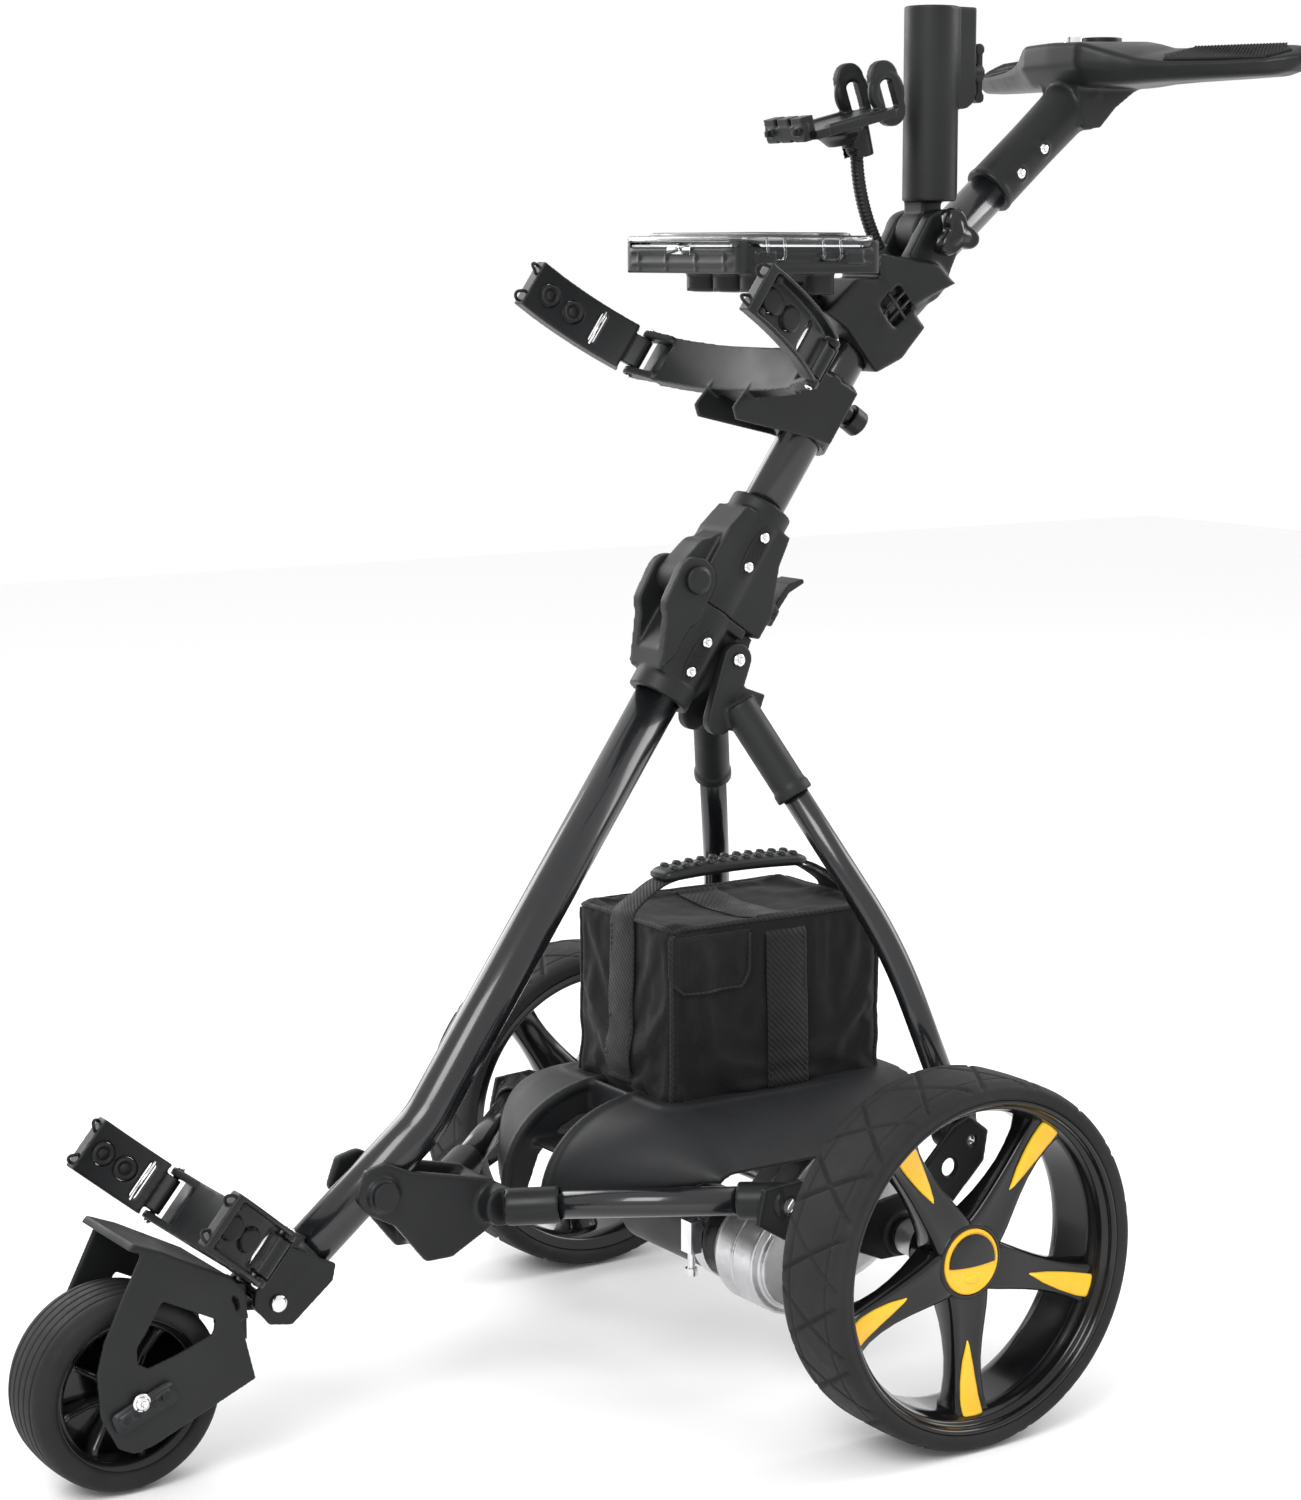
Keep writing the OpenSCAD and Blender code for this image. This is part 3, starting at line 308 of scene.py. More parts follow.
def assign(o, mat, body, slot=None, replaces=()):
    """Gives a piece its material and body, and hides the CAD nodes it stands for. The slot is not used."""
    dress(o.data, mat)
    o.data.shade_smooth()
    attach(o, body)
    slot or (mat if mat in slot_of.values() else "moulded")
    if replaces:
        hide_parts(*replaces)
    return o


def piece(name, me, mat, body, slot=None, replaces=()):
    """A piece from one mesh, or from a list of meshes joined."""
    return assign(add(name, joined(name, me) if isinstance(me, list) else me), mat, body, slot, replaces)


def apply_mods(o):
    dg = bpy.context.evaluated_depsgraph_get()
    me = bpy.data.meshes.new_from_object(o.evaluated_get(dg))
    old = o.data
    o.modifiers.clear()
    o.data = me
    if old.users == 0:
        bpy.data.meshes.remove(old)
    return me


def voxel_remesh(o, size):
    r = o.modifiers.new("remesh", "REMESH")
    r.mode, r.voxel_size = "VOXEL", size


def voxel_skin(name, me, voxel, rounds):
    """An object remeshed in voxels of that many mm, then smoothed."""
    o = add(name, me)
    voxel_remesh(o, voxel / 1000)
    s = o.modifiers.new("smooth", "SMOOTH")
    s.factor, s.iterations = 0.5, rounds
    apply_mods(o)
    return o


def soften(node, voxel, rounds, mat):
    """A copy of a CAD node with its edges rounded like a moulding. It stands for the node."""
    o = voxel_skin(node + "_moulding", cad_mesh(node), voxel, rounds)
    assign(o, mat, body_of[node], slot_of[node], [node])


def unite(name, meshes, voxel, rounds, mat, body, node, cuts=()):
    """Joins closed pieces into one skin with soft edges, then cuts the recesses."""
    o = voxel_skin(name, joined(name, meshes), voxel, rounds)
    if cuts:
        tool = add("tool", joined("tool", cuts))
        b = o.modifiers.new("cut", "BOOLEAN")
        b.operation, b.object = "DIFFERENCE", tool
        apply_mods(o)
        bpy.data.objects.remove(tool)
    assign(o, mat, body, "moulded", [node])


def cad_mesh(node):
    return nodes[node].data.copy()


# ---------- mesh helpers ----------
def skin(name, rows, scale=1, closed=False, caps=True):
    """A mesh over rows of points, each row a loop. Closed rows join up; open ones get caps at both ends."""
    pts = np.array(rows) / scale
    nu, nv = pts.shape[:2]
    a, b = np.meshgrid(np.arange(nu if closed else nu - 1), np.arange(nv), indexing="ij")
    a2, b2 = (a + 1) % nu, (b + 1) % nv
    faces = np.stack([a * nv + b, a2 * nv + b, a2 * nv + b2, a * nv + b2], -1).reshape(-1, 4).tolist()
    if caps and not closed:
        faces += [list(range(nv)), list(range(nu * nv - 1, (nu - 1) * nv - 1, -1))]
    me = bpy.data.meshes.new(name)
    me.from_pydata(pts.reshape(-1, 3).tolist(), [], faces)
    me.update()
    with editing(me) as bm:
        bmesh.ops.recalc_face_normals(bm, faces=bm.faces)
    return me


def lathe(name, profile, centre, segs=96, x0=0.0, side=1, dent=None):
    """Revolves a closed profile of (radius, x) in mm about an X axis through centre (y, z)."""
    prof = np.array(profile, float)
    th = np.repeat(turn(segs)[:, None], len(prof), 1)
    r, x = (np.repeat(prof[None, :, k], segs, 0) for k in (0, 1))
    if dent is not None:
        r = r - dent(th, x)
    pts = np.stack([x0 + side * x, centre[0] + AXLE_Y + r * np.cos(th), centre[1] + r * np.sin(th)], -1)
    return skin(name, pts, 1000, closed=True)


def smoothstep(a, b, v):
    t = np.clip((v - a) / (b - a), 0, 1)
    return t * t * (3 - 2 * t)


def rounded(p0, p1, p2, radius, steps):
    """Points of the curve that rounds the corner p1."""
    d0, d1 = p0 - p1, p2 - p1
    l0, l1 = np.linalg.norm(d0), np.linalg.norm(d1)
    k = min(radius, 0.45 * l0, 0.45 * l1)
    a, b = p1 + d0 / l0 * k, p1 + d1 / l1 * k
    return [(1 - t) ** 2 * a + 2 * t * (1 - t) * p1 + t * t * b for t in np.linspace(0, 1, steps)]


def arc_profile(points, radius=1.0, steps=4):
    """Rounds the corners of a closed polygon of (a, b) or (a, b, radius) points."""
    p = [np.array(q[:2], float) for q in points]
    return [q for i in range(len(p)) for q in rounded(
        p[i - 1], p[i], p[(i + 1) % len(p)], points[i][2] if len(points[i]) > 2 else radius, steps + 1)]


def soft_corner(points, radius, steps):
    """A 3-D polyline with its inner corners rounded."""
    p = [np.array(q, float) for q in points]
    inner = [q for i in range(1, len(p) - 1) for q in rounded(p[i - 1], p[i], p[i + 1], radius, steps)]
    return [p[0], *inner, p[-1]]


def rounded_rect(w, l, r, cx=0.0, cy=0.0):
    corners = [(sx * w / 2, sy * l / 2, r * 1.7) for sx, sy in ((-1, -1), (1, -1), (1, 1), (-1, 1))]
    return [(cx + a, cy + b) for a, b in arc_profile(corners, r, 6)]


def mirrored(half, middle):
    """A section symmetric about 0, from one half of it and its middle point."""
    return [(-a, b) for a, b in half] + [middle] + half[::-1]


def resample(path, step=0.004, smooth=True):
    """Even points on a smooth curve through the path."""
    p = np.array(path, float)
    if smooth and len(p) > 2:
        q = []
        ext = np.vstack([2 * p[0] - p[1], p, 2 * p[-1] - p[-2]])
        for i in range(1, len(ext) - 2):
            a, b, c, d = ext[i - 1:i + 3]
            for t in np.linspace(0, 1, 12, endpoint=False):
                q.append(0.5 * (2 * b + (c - a) * t + (2 * a - 5 * b + 4 * c - d) * t * t
                                + (3 * b - a - 3 * c + d) * t ** 3))
        p = np.array(q + [p[-1]])
    d = np.concatenate([[0], np.cumsum(np.linalg.norm(np.diff(p, axis=0), axis=1))])
    s = np.linspace(0, d[-1], max(2, int(d[-1] / step) + 1))
    return np.stack([np.interp(s, d, p[:, k]) for k in range(3)], -1)


def tube_rows(path, radius, sides, closed=False):
    """Rings of points round a path. radius is one number or one per point, in metres."""
    p = np.array(path, float)
    r = np.full(len(p), radius) if np.isscalar(radius) else np.array(radius)
    if closed:
        tan = np.roll(p, -1, 0) - np.roll(p, 1, 0)
    else:
        tan = np.vstack([p[1] - p[0], p[2:] - p[:-2], p[-1] - p[-2]])
    tan /= np.linalg.norm(tan, axis=1, keepdims=True)
    u = np.cross(tan[0], np.array([0, 0, 1.0]) if abs(tan[0][2]) < 0.9 else np.array([1.0, 0, 0]))
    a = turn(sides)[:, None]
    rows = []
    for i in range(len(p)):
        u = u - tan[i] * np.dot(u, tan[i])
        u /= np.linalg.norm(u)
        rows.append(p[i] + r[i] * (np.cos(a) * u + np.sin(a) * np.cross(tan[i], u)))
    return rows


def tube_mesh(name, path, radius, sides=10, closed=False):
    return skin(name, tube_rows(path, radius, sides, closed), closed=closed)


def pipe(name, path, r_out, wall, node, sides=64):
    """A hollow tube along a path, open at both ends, that stands for a CAD tube."""
    rows = tube_rows(path, r_out, sides) + tube_rows(path, r_out - wall, sides)[::-1]
    piece(name, skin(name, rows, closed=True), "tube_paint", body_of[node], slot_of[node], [node])


def frame_of(normal, up):
    n = Vector(normal).normalized()
    u = Vector(up)
    u = (u - n * u.dot(n)).normalized()
    return Matrix((u.cross(n), u, n)).transposed()


def local(origin, rot, x, y, z):
    """A point in mm in a turned frame at origin."""
    return Vector(origin) + rot @ Vector((x, y, z)) / 1000


def revolve(name, profile, origin, axis, segs=32):
    """Revolves an open profile of (radius, height) in mm about axis at origin; its ends close on the axis."""
    rot = frame_of(axis, (0.31, 0.2, 0.93) if abs(Vector(axis).normalized().z) < 0.9 else (1, 0.1, 0))
    return skin(name, [[local(origin, rot, max(r, 0.02) * math.cos(a), max(r, 0.02) * math.sin(a), h)
                        for a in turn(segs)] for r, h in profile])


def prism(outline, lo, hi, across="x"):
    """Extrudes an outline of (y, z) points along x, or of (x, y) points along z, in design mm."""
    return skin("prism", [[P(k, a, b) if across == "x" else P(a, b, k) for a, b in outline]
                          for k in (lo, hi)])


# ---------- wheels ----------
def rear_point(side, ang, x, r, t):
    """x out of the rear wheel's outer face, r from its axis and t across, at an angle about it, in mm."""
    return ((REAR_X + x) * side, AXLE_Y + r * math.cos(ang) - t * math.sin(ang),
            REAR_R + r * math.sin(ang) + t * math.cos(ang))


def tread_dent(th, x):
    """Depth of the rear tyre's chevron cuts and its two grooves."""
    u = th * REAR_R
    pitch = 2 * math.pi * REAR_R / 17
    mid = x + 36
    cut = np.zeros_like(u)
    for s in (0.62, -0.62):
        d = np.abs((u + s * mid + pitch / 2) % pitch - pitch / 2)
        cut = np.maximum(cut, 2.4 * np.clip(1.4 - d / 1.7, 0, 1))
    for c in (-21.5, 21.5):
        cut = np.maximum(cut, 1.1 * np.clip(1.3 - np.abs(mid - c) / 1.0, 0, 1))
    return cut * smoothstep(34.5, 31, np.abs(mid))


def front_dent(_, x):
    """Depth of the front tyre's five grooves."""
    return np.max([1.7 * np.clip(1.35 - np.abs(x - c) / 0.85, 0, 1) for c in (-17.5, -8.8, 0, 8.8, 17.5)], 0)


def plate(name, outline, x, thick, side, bevel=0.4):
    """A flat plate with a bevelled edge, drawn in the rear wheel's plane."""
    a = np.array(outline, float)
    c = a.mean(0)
    rows = []
    for k, inset in ((0, 0), (thick - bevel, 0), (thick - bevel * 0.3, bevel * 0.5), (thick, bevel * 1.4)):
        s = 1 - inset / np.maximum(np.linalg.norm(a - c, axis=1, keepdims=True), 1e-6)
        rows.append([rear_point(side, 0, x + k, *q) for q in c + (a - c) * s])
    return skin(name, rows, 1000)


# radius, half width, outer and inner height of a rear spoke
SPOKE = [(19, 19.5, -22.6, -52), (27, 18.4, -21.5, -50), (36, 17.2, -20.9, -47), (48, 15.6, -21.2, -43.5),
         (62, 14.0, -21.8, -41), (76, 13.0, -22.0, -39.5), (90, 13.0, -21.4, -39.5), (103, 13.8, -19.6, -41),
         (112, 15.2, -17.0, -44), (117.5, 17.0, -14.6, -47)]


def spoke(side, ang):
    rows = []
    for r, w, top, bot in SPOKE:
        half = [(w, bot + 4), (w, top - 7), (w * 0.985, top - 3.2), (w * 0.93, top - 1.1),
                (w * 0.80, top - 0.1), (w * 0.55, top - 0.7)]
        sec = mirrored(half, (0, top - 1.2)) + [(w * 0.82, bot), (-w * 0.82, bot)]
        rows.append([rear_point(side, ang, x, r, t) for t, x in sec])
    return skin("spoke", rows, 1000)


def leaf(side, ang):
    """Yellow blade on a spoke: its edges spread and it rises towards the rim."""
    rows = []
    for r in np.linspace(60.5, 117.6, 26):
        lo = np.interp(r, [60.5, 76, 92, 108, 118], [-1.6, -6.0, -8.8, -10.3, -9.6])
        hi = np.interp(r, [60.5, 78, 96, 118], [-0.8, 3.0, 5.6, 8.2])
        top = np.interp(r, [60.5, 76, 90, 103, 112, 118], [-21.6, -20.6, -19.4, -17.6, -15.2, -13.2])
        end = min(1.0, (r - 60) / 5, (118.4 - r) / 2.4)
        mid, w = (lo + hi) / 2, (hi - lo) / 2 * (0.55 + 0.45 * min(1, (118.4 - r) / 3))
        sec = mirrored([(w, -4.2), (w, -1.0), (w * 0.86, -0.25)], (0, 0.25))
        rows.append([rear_point(side, ang, top + (h if h < -2 else h * end - (1 - end) * 1.6), r, mid + t)
                     for t, h in sec])
    return skin("leaf", rows, 1000)


def rear_wheel(tag, side):
    body = "wheel_" + tag

    def turned(name, profile, segs=96, dent=None):
        return lathe(name, profile, (0, REAR_R), segs, REAR_X * side, side, dent)

    crown = [(139.2 + 0.8 * (1 - ((x + 36.2) / 27) ** 2), x) for x in np.linspace(-63, -9.5, 50)]
    tyre = [(126.2, -70.8), (129, -71.8), (132.5, -72.3), (135.3, -71.6), (137.4, -69.6), (138.5, -66.6),
            *crown, (138.5, -5.9), (137.4, -3), (135.3, -0.9), (132.5, -0.1), (129, -0.5), (126.2, -1.5)]
    piece("tyre_%s_treaded" % tag, turned("tyre", tyre, 760, tread_dent), "tyre_rubber", body,
          replaces=["tyre_" + tag])
    ring = arc_profile([
        (116.5, -67, 2), (126.2, -70, 2), (126.2, -2.2, 1.2), (123.6, -1.4, 1.2), (121.8, -3.4, 1.2),
        (120.6, -7.5, 1.5), (117.4, -9.5, 1.5), (116.2, -15, 2), (113.2, -21, 3), (113.2, -58, 3)])
    hub = arc_profile([
        (6.2, -67.8, .3), (22, -67.8, 1.5), (27, -62, 3), (27.5, -38, 2), (29.5, -25.5, 3),
        (28.6, -21.6, 1.5), (25.6, -21.2, .5), (25.3, -26.8, .3), (6.2, -26.8, .3)], steps=3)
    angles = [math.radians(i * 72 - 90) for i in range(5)]
    rim = [turned("ring", ring, 192), turned("hub", hub)] + [spoke(side, a) for a in angles]
    piece("rim_%s_cast" % tag, rim, "gloss_black", body, replaces=["rim_" + tag])
    cap = arc_profile([(1.0, -26.6, .2), (24.9, -26.6, .4), (25.0, -20.6, 1.4), (22.6, -19.6, .8),
                       (22.2, -20.6, .4), (1.0, -20.2, .2)], steps=3)
    trim = [leaf(side, a) for a in angles] + [turned("cap", cap)]
    piece("wheel_trim_%s_leaves" % tag, trim, "yellow", body, replaces=["wheel_trim_" + tag])
    # dark half disc on the upper part of the cap
    arc = np.linspace(math.radians(-6), math.radians(186), 40)
    outline = [(21.2 * math.cos(a), 21.2 * math.sin(a)) for a in arc]
    outline += [(x, -2.2 - 1.6 * (1 - (x / 21.1) ** 2)) for x in np.linspace(-20.6, 20.6, 12)]
    piece("wheel_badge_" + tag, plate("badge", outline, -20.5, 1.2, side), "gloss_black", body)
    oval = [(5.6 * math.cos(a), 3.3 * math.sin(a) - 13) for a in turn(28)]
    piece("wheel_button_%s_oval" % tag, plate("button", oval, -24.6, 5.4, side, bevel=0.9), "yellow",
          "button_" + tag, replaces=["wheel_button_" + tag])


def front_wheel():
    cy, cz = FRONT_AXLE
    crown = [(72.6 + 1.1 * (1 - (x / 21) ** 2), x) for x in np.linspace(-21, 21, 85)]
    wall = [(56.2, 29.2), (60, 30.4), (64, 30.7), (67.5, 29.6), (70.3, 27), (71.8, 23.6)]
    tyre = [(r, -x) for r, x in wall] + crown + wall[::-1]
    piece("front_tyre_grooved", lathe("tyre", tyre, FRONT_AXLE, 192, dent=front_dent), "tyre_rubber",
          "front_wheel", replaces=["front_tyre"])
    ring = arc_profile([(50, -24.5), (56.2, -28.5), (56.2, 28.5), (50, 24.5)], 1.5)
    hub = arc_profile([(11.1, -24), (16, -24), (16, -6), (51, -4), (51, 4), (16, 6), (16, 24), (11.1, 24),
                       (11.1, 16), (9.1, 16), (9.1, -16), (11.1, -16)], 0.6, 2)
    parts = [lathe("ring", ring, FRONT_AXLE, 128), lathe("hub", hub, FRONT_AXLE, 64)]
    for s in (-1, 1):
        for a in np.radians(np.arange(8) * 45 + 12):
            parts.append(skin("rib", [[
                (s * x, AXLE_Y + cy + r * math.cos(a) - t * math.sin(a),
                 cz + r * math.sin(a) + t * math.cos(a)) for t, x in ((-w, 3), (-w, h), (w, h), (w, 3))]
                for r, w, h in ((15, 2.4, 20), (30, 2.0, 17), (44, 2.0, 20), (50.6, 2.6, 23.5))], 1000))
    piece("front_rim_ribbed", parts, "gloss_black", "front_wheel", replaces=["front_rim"])


# ---------- battery bag ----------
BAG_W, BAG_L, BAG_Y = 137.0, 203.0, -25.0      # width, length and middle, in design mm
BAG_Z = (213.6, 372.0)                         # foot and top
BAG = np.array([0.0, BAG_Y + AXLE_Y, 0]) / 1000     # the same in metres
BAG_HALF = np.array([BAG_W, BAG_L]) / 2000
BAG_Z0, BAG_Z1 = BAG_Z[0] / 1000, BAG_Z[1] / 1000
CLOTH = dict(quality=6, mass=0.25, tension_stiffness=30, compression_stiffness=30, shear_stiffness=12,
             bending_stiffness=0.35, use_pressure=True, uniform_pressure_force=1.6, vertex_group_mass="pin",
             shrink_min=-0.035)
FRAMES = 28


def bag_box():
    z0, z1 = BAG_Z[0], BAG_Z[1] - 2
    bm = bmesh.new()
    bmesh.ops.create_cube(bm, size=1)
    for v in bm.verts:
        v.co = Vector((v.co.x * (BAG_W - 3), v.co.y * (BAG_L - 3), (z0 + z1) / 2 + v.co.z * (z1 - z0)))
    bmesh.ops.bevel(bm, geom=list(bm.edges), offset=9, segments=4, profile=0.5, affect="EDGES")
    for v in bm.verts:
        v.co = P(v.co.x, v.co.y + BAG_Y, v.co.z)
    return mesh_of("bag_box", bm)


def billow(o, co):
    """Blows the bag up as cloth held at its seams and bottom, and gives its points."""
    edges = [BAG_HALF[k] - 0.0015 - np.abs(co[:, k] - BAG[k]) for k in (0, 1)]
    edges.append(np.minimum(co[:, 2] - BAG_Z0, BAG_Z1 - 0.002 - co[:, 2]))
    pin = np.clip(1.0 - (np.sort(edges, 0)[1] - 0.004) / 0.008, 0, 1)
    pin[co[:, 2] < BAG_Z0 + 0.006] = 1
    g = o.vertex_groups.new(name="pin")
    for i in np.flatnonzero(pin):
        g.add([int(i)], float(pin[i]) * 0.9, "REPLACE")
    m = o.modifiers.new("cloth", "CLOTH")
    for k, v in CLOTH.items():
        setattr(m.settings, k, v)
    m.settings.effector_weights.gravity = 0.6
    m.point_cache.frame_start, m.point_cache.frame_end = 1, FRAMES
    for f in range(1, FRAMES + 1):
        scene.frame_set(f)
    dg = bpy.context.evaluated_depsgraph_get()
    d = np.array([v.co for v in o.evaluated_get(dg).data.vertices]) - co
    o.modifiers.clear()
    o.vertex_groups.clear()
    scene.frame_set(1)
    return co + d * np.minimum(1, 0.006 / np.maximum(np.linalg.norm(d, axis=1, keepdims=True), 1e-9))


def battery_bag():
    o = add("battery_bag_sewn", bag_box())
    voxel_remesh(o, 0.005)
    me = apply_mods(o)
    start = np.array([v.co for v in me.vertices])
    co = billow(o, start)
    # soft dents that cloth of this size shows
    for i, p in enumerate(co):
        q = Vector(p)
        dent = noise.noise(q * 34) * 0.0013 + noise.noise(q * 85) * 0.0005
        fold = 0.0016 * math.sin(p[2] * 210 + 9 * noise.noise(q * 12)) * smoothstep(0.30, 0.22, p[2])
        inward = np.prod(np.maximum(0, 1 - np.abs(p[:2] - BAG[:2]) / BAG_HALF))
        sag = 0.012 * min(1, inward * 1.6) * smoothstep(0.36, 0.37, p[2])
        loose = 1.0 if p[2] > 0.218 else 0.0
        co[i] = p + np.array(me.vertices[i].normal) * (dent + fold) * loose - np.array([0, 0, sag])
    for k in (0, 1):
        co[:, k] = np.clip(co[:, k], BAG[k] - BAG_HALF[k] - 0.0035, BAG[k] + BAG_HALF[k] + 0.0035)
    co[:, 2] = np.clip(co[:, 2], BAG_Z0, None)
    # the battery inside holds the sides out
    lo, hi = (np.array(v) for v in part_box("battery"))
    reach = np.abs(start[:, :2] - BAG[:2]) - BAG_HALF + 0.006
    for i, k in ((0, 1), (1, 0)):
        side = (reach[:, i] > 0) & (reach[:, k] < 0)
        off = co[side, i] - BAG[i]
        co[side, i] = BAG[i] + np.sign(off) * np.maximum(np.abs(off), (hi[i] - lo[i]) / 2 + 0.0016)
    me.vertices.foreach_set("co", co.astype(np.float32).ravel())
    me.update()
    s = o.modifiers.new("subdivision", "SUBSURF")
    s.levels = s.render_levels = 2
    apply_mods(o)
    assign(o, "bag_nylon", "frame", "bag_nylon", ["battery_bag"])
    return o


def ribbon(name, path, across, width, thick, replaces=()):
    """A flat strap along a path. width is one number or one per point."""
    pts = [Vector(p) for p in path]
    k = thick / 2
    rows = []
    for p, before, after, w in zip(pts, pts[:1] + pts, pts[1:] + pts[-1:], np.broadcast_to(width, len(pts))):
        t = (after - before).normalized()
        side = (Vector(across) - t * Vector(across).dot(t)).normalized()
        up = side.cross(t).normalized()
        h = w / 2
        rows.append([p + side * a + up * b for a, b in (
            (-h, -k * 0.6), (-h + k, -k), (h - k, -k), (h, -k * 0.6), (h, k * 0.6), (h - k, k), (0, k * 1.15),
            (-h + k, k), (-h, k * 0.6))])
    piece(name, skin(name, rows), "webbing", "frame", "webbing", replaces)


def piping(name, path, radius=0.0021, closed=False):
    piece(name, tube_mesh(name, path, radius, 8, closed), "webbing", "frame", "webbing")


def bag_straps(hit, cx, cy, strap_y, grip_z):
    """One strap over the bag, and webbing at its front and rear that runs up into the handle."""
    zs = np.linspace(0.2145, 0.352, 36)
    path = [hit((-0.12, strap_y, z), (1, 0, 0), 0.0012) for z in zs]
    path += [hit((x, strap_y, 0.42), (0, 0, -1), 0.0012) for x in np.linspace(-0.058, 0.058, 28)]
    path += [hit((0.12, strap_y, z), (-1, 0, 0), 0.0012) for z in zs[::-1]]
    ribbon("bag_strap", resample(path, 0.003), (0, 1, 0), 0.038, 0.0016, ["bag_webbing"])
    for tag, s in (("front", -1), ("rear", 1)):
        path = [hit((cx, cy + s * 0.2, z), (0, -s, 0), 0.0012) for z in np.linspace(0.236, 0.362, 32)]
        edge = path[-1].y
        path += [Vector((cx, y, z)) for y, z in ((edge - s * 0.003, 0.371), (cy + s * 0.083, 0.3815),
                                                 (cy + s * 0.068, 0.3895), (cy + s * 0.050, grip_z))]
        pts = resample(path, 0.003)
        width = [0.034 - 0.010 * min(1, max(0, p[2] - 0.36) / 0.02) for p in pts]
        ribbon("bag_webbing_" + tag, pts, (1, 0, 0), width, 0.0018)
    path = [hit((cx, cy + 0.2, 0.358), (0, -1, 0), 0.0032)]
    path += [Vector((cx, y, z)) for y, z in ((edge + 0.0035, 0.368), (edge - 0.001, 0.3765),
                                             (cy + 0.078, 0.3895), (cy + 0.06, 0.3965))]
    ribbon("bag_webbing_upper_rear", resample(path, 0.003), (1, 0, 0), 0.024, 0.0016)


def bag_grip(cx, cy, z):
    """The handle's oval grip with two rows of oval nubs."""
    def power(v, k):
        return math.copysign(abs(v) ** k, v)

    def bend(y):
        return 0.0025 * (1 - (y / 0.068) ** 2)

    rows = []
    for y in np.linspace(-0.068, 0.068, 41):
        end = min(1.0, (0.0685 - abs(y)) / 0.006)
        w, h = 0.0145 * (0.75 + 0.25 * end), 0.0052 * (0.55 + 0.45 * end)
        rows.append([(cx + power(math.cos(a), 0.55) * w, cy + y, z + power(math.sin(a), 0.7) * h + bend(y))
                     for a in turn(20)])
    parts = [skin("grip", rows)]
    for y in np.arange(-5, 6) * 0.0115:
        for x in (-0.0066, 0.0066):
            parts.append(skin("nub", [[(cx + x + k * 0.0048 * math.cos(a), cy + y + k * 0.0031 * math.sin(a),
                                        z + bend(y) + h) for a in turn(14)]
                                      for k, h in ((1, 0.0028), (1, 0.0054), (0.9, 0.0066), (0.6, 0.0073))]))
    piece("bag_grip_ribbed", parts, "soft_black", "frame", "moulded", ["bag_handle"])


def bag_piping(hit, cx, cy):
    """Piping down the four corners and round the top edge."""
    for i, (sx, sy) in enumerate(((1, -1), (1, 1), (-1, -1), (-1, 1))):
        d = Vector((-sx, -sy, 0)).normalized()
        corner = Vector((cx + sx * (BAG_HALF[0] - 0.005), cy + sy * (BAG_HALF[1] - 0.005), 0)) - d * 0.06
        path = [hit(corner + Vector((0, 0, z)), d, 0.0006) for z in np.linspace(0.218, 0.362, 24)]
        piping("bag_piping_%d" % i, resample(path))
    loop = []
    hx, hy = BAG_HALF - 0.006
    for x0, y0, x1, y1 in ((1, -1, 1, 1), (1, 1, -1, 1), (-1, 1, -1, -1), (-1, -1, 1, -1)):
        for t in np.linspace(0, 1, 30, endpoint=False):
            out = Vector(((x0 + (x1 - x0) * t) * hx, (y0 + (y1 - y0) * t) * hy, 0))
            inward = -out.normalized() if t < 0.03 else Vector((-np.sign(x0 + x1), -np.sign(y0 + y1), 0))
            d = (inward + Vector((0, 0, -1))).normalized()
            loop.append(hit(out + Vector((cx, cy, 0.362)) - d * 0.06, d, 0.0004))
    piping("bag_piping_top", loop, 0.0019, closed=True)


def bag_flap(hit):
    """Rounded pocket flap on the near face, by the front corner."""
    ends, z0, z1 = (P(0, -124, 0).y, P(0, -54, 0).y), 0.316, 0.360
    nu, nv = 34, 22
    rows = []
    for u in np.linspace(0, 1, nu):
        y = ends[0] + (ends[1] - ends[0]) * u
        drop = 0.012 * (max(0, abs(u - 0.5) * 2 - 0.72) / 0.28) ** 2
        front, rear = [], []
        for v in np.linspace(0, 1, nv):
            h = hit((0.12, y, z1 + (z0 + drop - z1) * v), (-1, 0, 0), 0.0)
            puff = 0.0022 + 0.0022 * math.sin(math.pi * min(1, v * 1.2)) * math.sin(math.pi * u)
            front.append(h + Vector((puff + 0.0004 * noise.noise(h * 90), 0, 0)))
            rear.append(h + Vector((0.0002, 0, 0)))
        rows.append(front + rear[::-1])
    piece("bag_flap", skin("bag_flap", rows), "bag_nylon", "frame", "bag_nylon")
    edge = rows[0][2:nv - 1] + [row[nv - 1] for row in rows] + rows[-1][nv - 2:1:-1]
    piping("bag_flap_piping", resample(edge, 0.003), 0.0014)


def bag_stitching(hit, cx, strap_y):
    """Stitches beside the strap on the near face and the webbing on the front face."""
    lines = [((0.12, strap_y + d), (-1, 0, 0), 0.0026, 0.0002, 0.222, 0.350) for d in (-0.0165, 0.0165)]
    lines += [((cx + d, -0.2), (0, 1, 0), 0.0027, 0, 0.240, 0.356) for d in (-0.0145, 0.0145)]
    stitches = []
    for start, d, lift, bulge, z0, z1 in lines:
        for z in np.arange(z0, z1, 0.0048):
            a, b = (hit((*start, h), d, lift) for h in (z, z + 0.003))
            stitches.append(tube_mesh("stitch", [a, (a + b) / 2 - Vector(d) * bulge, b], 0.00035, 5))
    piece("bag_stitching", stitches, "bumper", "frame", "webbing")


